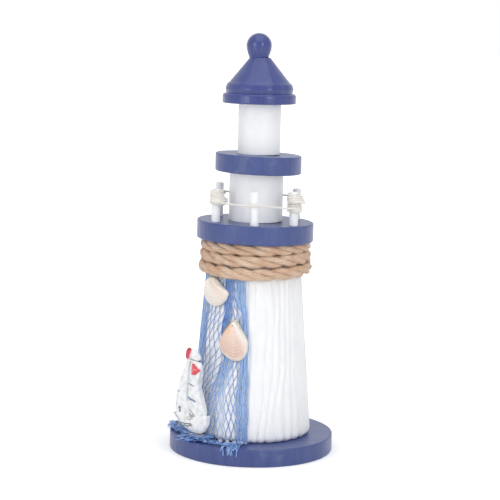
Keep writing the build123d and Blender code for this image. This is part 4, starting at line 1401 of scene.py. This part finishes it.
strokes = (
    # colour, share, width and the places that the stroke goes through
    # painted shade: the grey stroke along the mast, where the sails meet in a groove
    ("#BFC4C6", 0.7, 0.8, ((-2, 20), (-1.6, 30), (-0.8, 43))),
    ("#9A988E", 0.7, 0.5, ((-11.6, 13.4), (-11.4, 11.4), (-9, 9.6), (-6.4, 7.6))),
    ("#9A9A8E", 0.7, 0.55, ((-0.6, 14.4), (0.9, 13.9), (2.4, 12), (3.2, 10.2))),
    ("#A09E93", 0.6, 0.4, ((-0.6, 9.8), (0.6, 11), (2, 10.6), (2.2, 9.4), (0.9, 8.9), (-0.6, 9.6))),
    ("#D9CFA9", 0.5, 0.9, ((-2.4, 9.6), (-1.6, 9.2))),
    ("#30383C", 0.85, 0.75, ((-6.9, 15.2), (-7, 14.6))),
    ("#30383C", 0.85, 0.7, ((-6.9, 13.2), (-6.9, 13))),
    ("#2F3A46", 0.85, 0.42, ((-5.8, 6), (-2.6, 5.9), (1.8, 6.5))),
    ("#2F3A46", 0.85, 0.42, ((-3.6, 4.9), (-0.6, 4.6), (2.4, 5.8))),
    ("#3F4D5E", 0.8, 0.42, ((-0.4, 30.4), (1, 29.9), (2.6, 29.6))),
    ("#64799A", 0.85, 0.68, ((-1.2, 22), (0.8, 21.2), (4.1, 20.3))),
    ("#7288A8", 0.7, 0.4, ((-10, 25), (-7, 25.1))),
    ("#8A8F96", 0.6, 0.5, ((-6.6, 33.2), (-6.6, 34))),
    ("#A98C8C", 0.6, 0.5, ((-4.6, 41.2), (-4.6, 42))),
    ("#6E746A", 0.75, 0.38, ((-1, 45.4), (2, 44.9), (5.6, 44.4))),
    ("#20262A", 0.95, 0.6, ((5.9, 44.5), (6.2, 44.4))),
)
# soft waves of grey laid over the whole boat
grey_waves_across = np.sin(along * 1.1 + 2 * np.sin(upward * 0.33))
grey_waves_up = np.sin(upward * 0.72 + 1.4 * np.sin(along * 0.5))
coats = [("#BCC2C6", 0.45 * (0.5 + 0.5 * grey_waves_across * grey_waves_up) ** 2)]
for colour, share, width, places in strokes:
    coats += [(colour, share * stroke(start, end, width)) for start, end in zip(places, places[1:])]
red_line = (-2.5, 46.7), (-1.6, 50.5)
red_flag = within([(0.9, 36.2), (4.2, 36.2), (7, 38.7), (7.1, 39.8), (3.6, 43), (1.2, 43.3)]) * (out > 0)
coats += [
    ("#EFC3C4", 0.8 * stroke(*red_line, 2)),
    ("#CF3A50", 0.95 * stroke(*red_line, 1.5)),
    ("#8B3140", 0.6 * stroke((-1.6, 51), (-1.5, 51.3), 0.9)),
    ("#8B3140", 0.6 * stroke((-2.9, 46), (-2.8, 46.3), 0.7)),
    ("#D8394E", 0.95 * red_flag),
]
# painted highlight: three pale lines on the red flag, for the glint on it
for end in ((1.9, 41.4), (5.2, 39.6), (1.8, 37.4)):
    coats.append(("#F0A09C", 0.7 * red_flag * stroke((3.2, 39.6), end, 0.32)))
boat_paint = painted("#F1F2F3", coats)
print(f"{len(coats)} coats of paint")

# %% Resin material and boat piece
# hand-painted resin shines unevenly, where the brush left more or less paint, and is a little lumpy
grit_mm = 1.2
resin, tree = new_tree("hand-painted cast resin")
coat = add_node(tree, "ShaderNodeAttribute", {"attribute_name": "paint"}, {})
place = add_node(tree, "ShaderNodeTexCoord", {}, {})
grit = add_node(
    tree,
    "ShaderNodeTexNoise",
    {"Scale": 1 / (grit_mm * mm), "Detail": 4},
    {"Vector": place.outputs["Object"]},
)
bump = add_node(tree, "ShaderNodeBump", {"Strength": 0.8, "Distance": 0.25 * mm}, {"Height": grit.outputs[0]})
dull = add_node(tree, "ShaderNodeMapRange", {"To Min": 0.35, "To Max": 0.6}, {"Value": grit.outputs[0]})
surface = add_node(
    tree,
    "ShaderNodeBsdfPrincipled",
    {"IOR": 1.5},
    {"Base Color": coat.outputs["Color"], "Roughness": dull.outputs[0], "Normal": bump.outputs[0]},
)
add_node(tree, "ShaderNodeOutputMaterial", {}, {"Surface": surface.outputs[0]})
boat_heading = math.radians(-30)
boat_along = np.array((math.cos(boat_heading), math.sin(boat_heading), 0))
boat_outward = np.array((boat_along[1], -boat_along[0], 0))
boat_upward = np.array((0, 0, 1))
boat_keel = base_top + 3.7
boat_place = boat_outward * 41.2 + boat_along * -17.8 + (0, 0, boat_keel)
lumps = 0.14 * np.sin(along * 1.7 + upward) * np.sin(upward * 1.3) * np.sign(out)
boat_points = boat_place + along[:, None] * boat_along + (out + lumps)[:, None] * boat_outward
boat_points = boat_points + upward[:, None] * boat_upward
add_piece("painted_boat", boat_points, casting_faces, resin, "cast_resin", ["boat"], paint=boat_paint)

# %% [markdown]
# ## Glue, screw and dowels
#
# Clear hot glue holds the foot of the net. The drops keep their CAD shape, as do the hidden pieces: the
# dabs under the shells and the boat, the zinc-plated screw under the base and the beech dowels. New meshes
# could be made for them, but their CAD shapes are already what the eye would see.


# %% Small pieces that keep their CAD shape
def patchy_material(name, patch_mm, detail, smooth, rough, settings):
    """A plain material whose roughness changes from patch to patch."""
    material, tree = new_tree(name)
    place = add_node(tree, "ShaderNodeTexCoord", {}, {})
    patches = add_node(
        tree,
        "ShaderNodeTexNoise",
        {"Scale": 1 / (patch_mm * mm), "Detail": detail},
        {"Vector": place.outputs["Object"]},
    )
    dull = add_node(
        tree, "ShaderNodeMapRange", {"To Min": smooth, "To Max": rough}, {"Value": patches.outputs[0]}
    )
    surface = add_node(tree, "ShaderNodeBsdfPrincipled", settings, {"Roughness": dull.outputs[0]})
    add_node(tree, "ShaderNodeOutputMaterial", {}, {"Surface": surface.outputs[0]})
    return material


# hot glue is clear and looks wet, with a little haze
glue_look = {"Base Color": linear("#F6EEF2"), "IOR": 1.49, "Transmission Weight": 0.6}
glue = patchy_material("clear hot glue", 0.9, 3, 0.05, 0.3, glue_look)
# zinc plating is a bright grey metal with duller patches
zinc_look = {"Base Color": linear("#C9CCCF"), "Metallic": 1}
zinc = patchy_material("zinc-plated steel", 0.8, 2, 0.25, 0.45, zinc_look)
kept = {
    "net_glue": (glue, "hot_glue"),
    "shell_upper_glue": (glue, "hot_glue"),
    "shell_lower_glue": (glue, "hot_glue"),
    "boat_glue": (glue, "hot_glue"),
    "base_screw": (zinc, "zinc_screw"),
    "tower_dowel": (bare_wood, "bare_wood"),
    "lantern_dowel": (bare_wood, "bare_wood"),
    "roof_dowel": (bare_wood, "bare_wood"),
}
for node, (material, slot) in kept.items():
    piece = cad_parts[node]
    piece.data.materials.clear()
    piece.data.materials.append(material)
print(f"{len(kept)} CAD nodes keep their shape")
